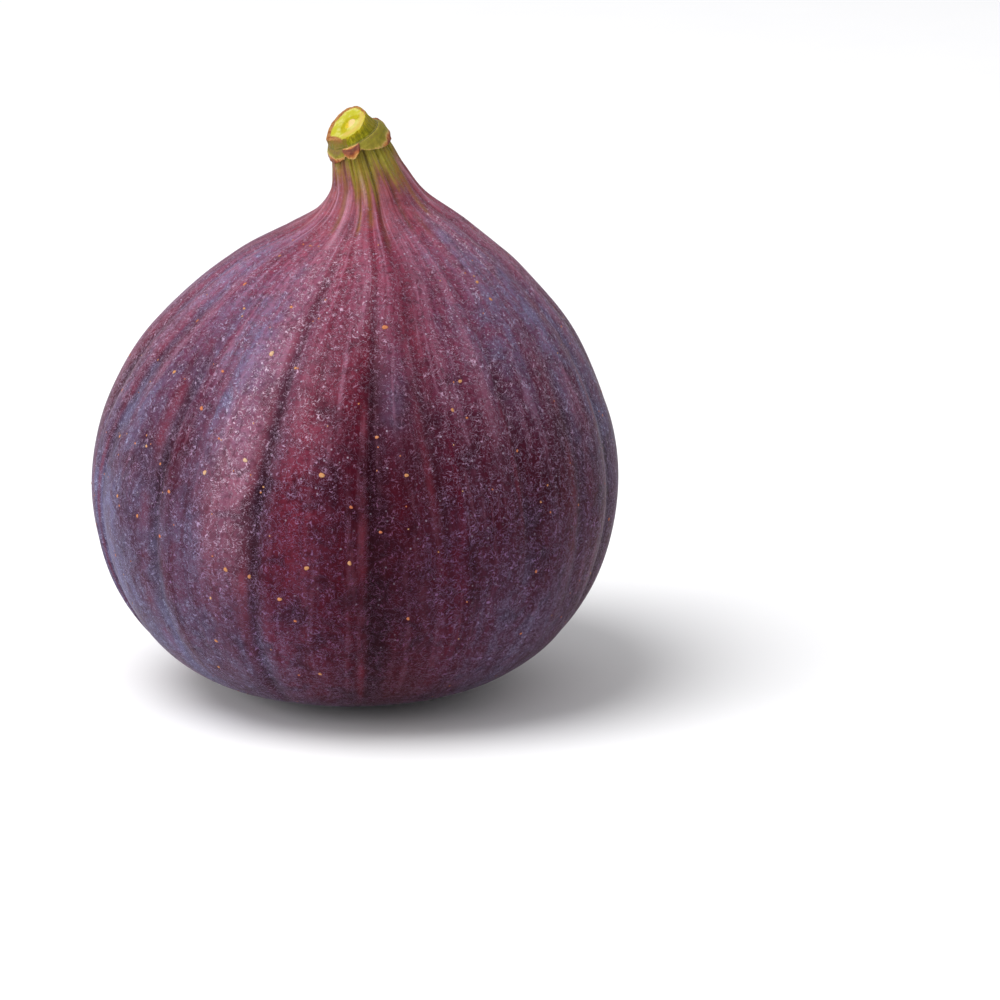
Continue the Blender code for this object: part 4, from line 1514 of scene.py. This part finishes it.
@dataclass(frozen=True)
class EyeFinish:
    """Small red-brown scales with dry tan tips."""

    stops: Stops = (
        (0.0, (74, 30, 34)), (0.55, (128, 60, 46)), (0.85, (170, 108, 70)), (1.0, (196, 148, 100)),
    )
    vein: Paint = (66, 26, 30)

    def material(self) -> bpy.types.Material:
        """The scales' material, which reads how near the tip each place is."""
        g = Graph("eye_scale")
        grit = g.noise(g.place(), 2600.0, 3.0, 0.4)
        veins = g.noise(g.field("grain", "Vector"), 9.0, 3.0)
        along = g.plus(g.field("along"), g.ease(grit, 0.3, 0.7, -0.18, 0.18))
        return g.surface(
            Base_Color=g.coated(g.ramp(along, self.stops), (self.vein, g.ease(veins, 0.5, 0.75, 0.0, 0.35))),
            Roughness=g.ease(grit, 0.3, 0.7, 0.55, 0.8),
            Normal=g.bump(g.plus(veins, g.times(grit, 0.5)), 0.07),
        )


@dataclass(frozen=True)
class Whorl:
    """One ring of equal scales round the eye."""

    count: int
    root_radius: float
    tip_radius: float
    root_height: float
    tip_height: float
    half_width: float


@dataclass
class EyeRosette:
    """The whorls of small scales that close the eye, hanging a little below its recess."""

    form: FruitForm
    whorls: tuple[Whorl, ...] = (
        Whorl(11, 3.3, 1.55, 2.05, 1.15, 0.85),
        Whorl(9, 2.6, 0.85, 1.85, 0.85, 0.78),
        Whorl(7, 1.9, 0.35, 1.65, 0.62, 0.68),
        Whorl(4, 1.1, 0.08, 1.50, 0.60, 0.50),
    )
    thickness: float = 0.14
    cupped: float = 0.16
    rows: int = 10
    columns: int = 9
    turn_jitter: float = 5.0
    tilt_jitter: float = 0.25
    seed: int = 21

    def scale(self, azimuth: float, whorl: Whorl, tilt: float) -> Surface:
        """One pointed scale, bowed outward, from its root to its tip over the eye.

        Args:
            azimuth: where it grows.
            whorl: the sizes of its whorl.
            tilt: how much its tip is turned aside, in millimetres.

        Returns:
            The closed scale.
        """
        across = np.linspace(-1.0, 1.0, self.columns)
        cos, sin = math.cos(math.radians(azimuth)), math.sin(math.radians(azimuth))
        spin = np.array([[cos, sin, 0.0], [-sin, cos, 0.0], [0.0, 0.0, 1.0]])
        eye = self.form.placed(np.zeros(3), 0.0)
        outer, inner, values, grains = [], [], [], []
        for s in np.linspace(0.0, 1.0, self.rows):
            width = whorl.half_width * (math.sin(math.pi * (0.22 + 0.74 * s)) ** 0.8 + 0.02)
            radius = whorl.root_radius + (whorl.tip_radius - whorl.root_radius) * s
            drop = (whorl.tip_height - whorl.root_height) * math.sin(math.pi * s / 2.0)
            height = whorl.root_height + drop + self.cupped * width * across**2
            flat = np.stack([np.full_like(across, radius), width * across + tilt * s * s, height], axis=-1)
            outer.append(flat @ spin + eye)
            inner.append(outer[-1] + (0.0, 0.0, self.thickness * (1.0 - 0.5 * s)))
            values.append(np.clip(s + 0.3 * np.abs(across) ** 3, 0.0, 1.0))
            along = np.full_like(across, 0.2 * s)
            grains.append(np.stack([across * whorl.half_width + azimuth, along, across * 0.0], axis=-1))
        fields = {"along": np.stack(values), "grain": np.stack(grains)}
        return Surface.leaf(np.stack(outer), np.stack(inner), fields)

    def dress(self, workshop: Workshop, finish: EyeFinish) -> bpy.types.Object:
        """All the scales as one piece in their finish."""
        draw = np.random.default_rng(self.seed)
        scales = []
        for number, whorl in enumerate(self.whorls):
            for place in range(whorl.count):
                azimuth = 360.0 * (place + 0.5 * number) / whorl.count
                azimuth += draw.uniform(-self.turn_jitter, self.turn_jitter)
                scales.append(self.scale(azimuth, whorl, draw.uniform(-self.tilt_jitter, self.tilt_jitter)))
        whole = Surface.joined(scales)
        return workshop.deliver(whole, "eye_rosette", finish.material(), Slot.EYE_SCALES, "eye_scales")


@dataclass(frozen=True)
class FloorFinish:
    """Matt white paper with the faintest grain."""

    light: Paint = (252, 252, 253)
    dark: Paint = (248, 248, 250)

    def material(self) -> bpy.types.Material:
        """The floor's material."""
        g = Graph("white_paper")
        grain = g.noise(g.place(), 60.0, 3.0)
        return g.surface(
            Base_Color=g.coated(self.light, (self.dark, grain)),
            Roughness=g.ease(grain, 0.3, 0.7, 0.85, 0.95),
            Specular_IOR_Level=0.1,
        )


@dataclass
class Studio:
    """A white floor, soft daylight from the upper left, and the camera, set out in metres."""

    floor_half: float = 3.0
    floor_height: float = -2e-5
    sky: float = 0.58
    # (name, place, size, power in watts) of each soft light
    lights: tuple[tuple[str, tuple[float, float, float], float, float], ...] = (
        ("ceiling", (-0.42, -0.30, 1.00), 0.80, 10.0),
        ("window", (-0.95, -0.35, 0.40), 0.60, 4.0),
    )
    lit_at: tuple[float, float, float] = (0.0, 0.0, 0.03)
    aim: tuple[float, float, float] = (0.01558, 0.0, 0.02069)
    distance: float = 0.600
    elevation: float = 15.0
    lens: float = 199.8
    sensor: float = 36.0

    def lay_floor(self, finish: FloorFinish) -> None:
        """Lays the floor just under the fruit."""
        data = bpy.data.meshes.new("floor")
        half = self.floor_half
        corners = ((-half, -half), (half, -half), (half, half), (-half, half))
        data.from_pydata([(x, y, self.floor_height) for x, y in corners], [], [(0, 1, 2, 3)])
        data.materials.append(finish.material())
        floor = bpy.data.objects.new("floor", data)
        bpy.context.collection.objects.link(floor)

    def light(self) -> None:
        """Hangs the soft lights and fills the room with white."""
        world = bpy.data.worlds.new("white_room")
        bpy.context.scene.world = world
        world.use_nodes = True
        background = world.node_tree.nodes["Background"]
        background.inputs["Color"].default_value = (1.0, 1.0, 1.0, 1.0)
        background.inputs["Strength"].default_value = self.sky
        for name, place, size, power in self.lights:
            data = bpy.data.lights.new(name, "AREA")
            data.shape, data.size, data.energy = "DISK", size, power
            lamp = bpy.data.objects.new(name, data)
            lamp.location = place
            lamp.rotation_euler = (Vector(self.lit_at) - Vector(place)).to_track_quat("-Z", "Y").to_euler()
            bpy.context.collection.objects.link(lamp)

    def place_camera(self) -> None:
        """Sets the camera a little above the fruit, straight in front of it."""
        data = bpy.data.cameras.new("camera")
        data.lens, data.sensor_width = self.lens, self.sensor
        camera = bpy.data.objects.new("camera", data)
        rise = math.radians(self.elevation)
        back = Vector((0.0, -math.cos(rise), math.sin(rise))) * self.distance
        camera.location = Vector(self.aim) + back
        camera.rotation_euler = (math.pi / 2.0 - rise, 0.0, 0.0)
        bpy.context.collection.objects.link(camera)
        bpy.context.scene.camera = camera
        bpy.context.scene.view_settings.view_transform = "Standard"


def main() -> None:
    """Builds the fig's pieces in order, then the studio."""
    logging.basicConfig(level=logging.INFO, format="%(name)s: %(message)s")
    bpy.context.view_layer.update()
    low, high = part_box("fruit")
    workshop = Workshop((high.x - low.x) / FORM_WIDTH)
    form = FruitForm()
    joint = Joint(form)
    FigSkin(form, joint).dress(workshop, SkinFinish())
    Lenticels(form).dress(workshop, LenticelFinish())
    StemStub(joint).dress(workshop, StemFinish())
    BractLeaves(joint).dress(workshop, BractFinish())
    EyeRosette(form).dress(workshop, EyeFinish())
    studio = Studio()
    studio.lay_floor(FloorFinish())
    studio.light()
    studio.place_camera()


if __name__ == "__main__":
    main()
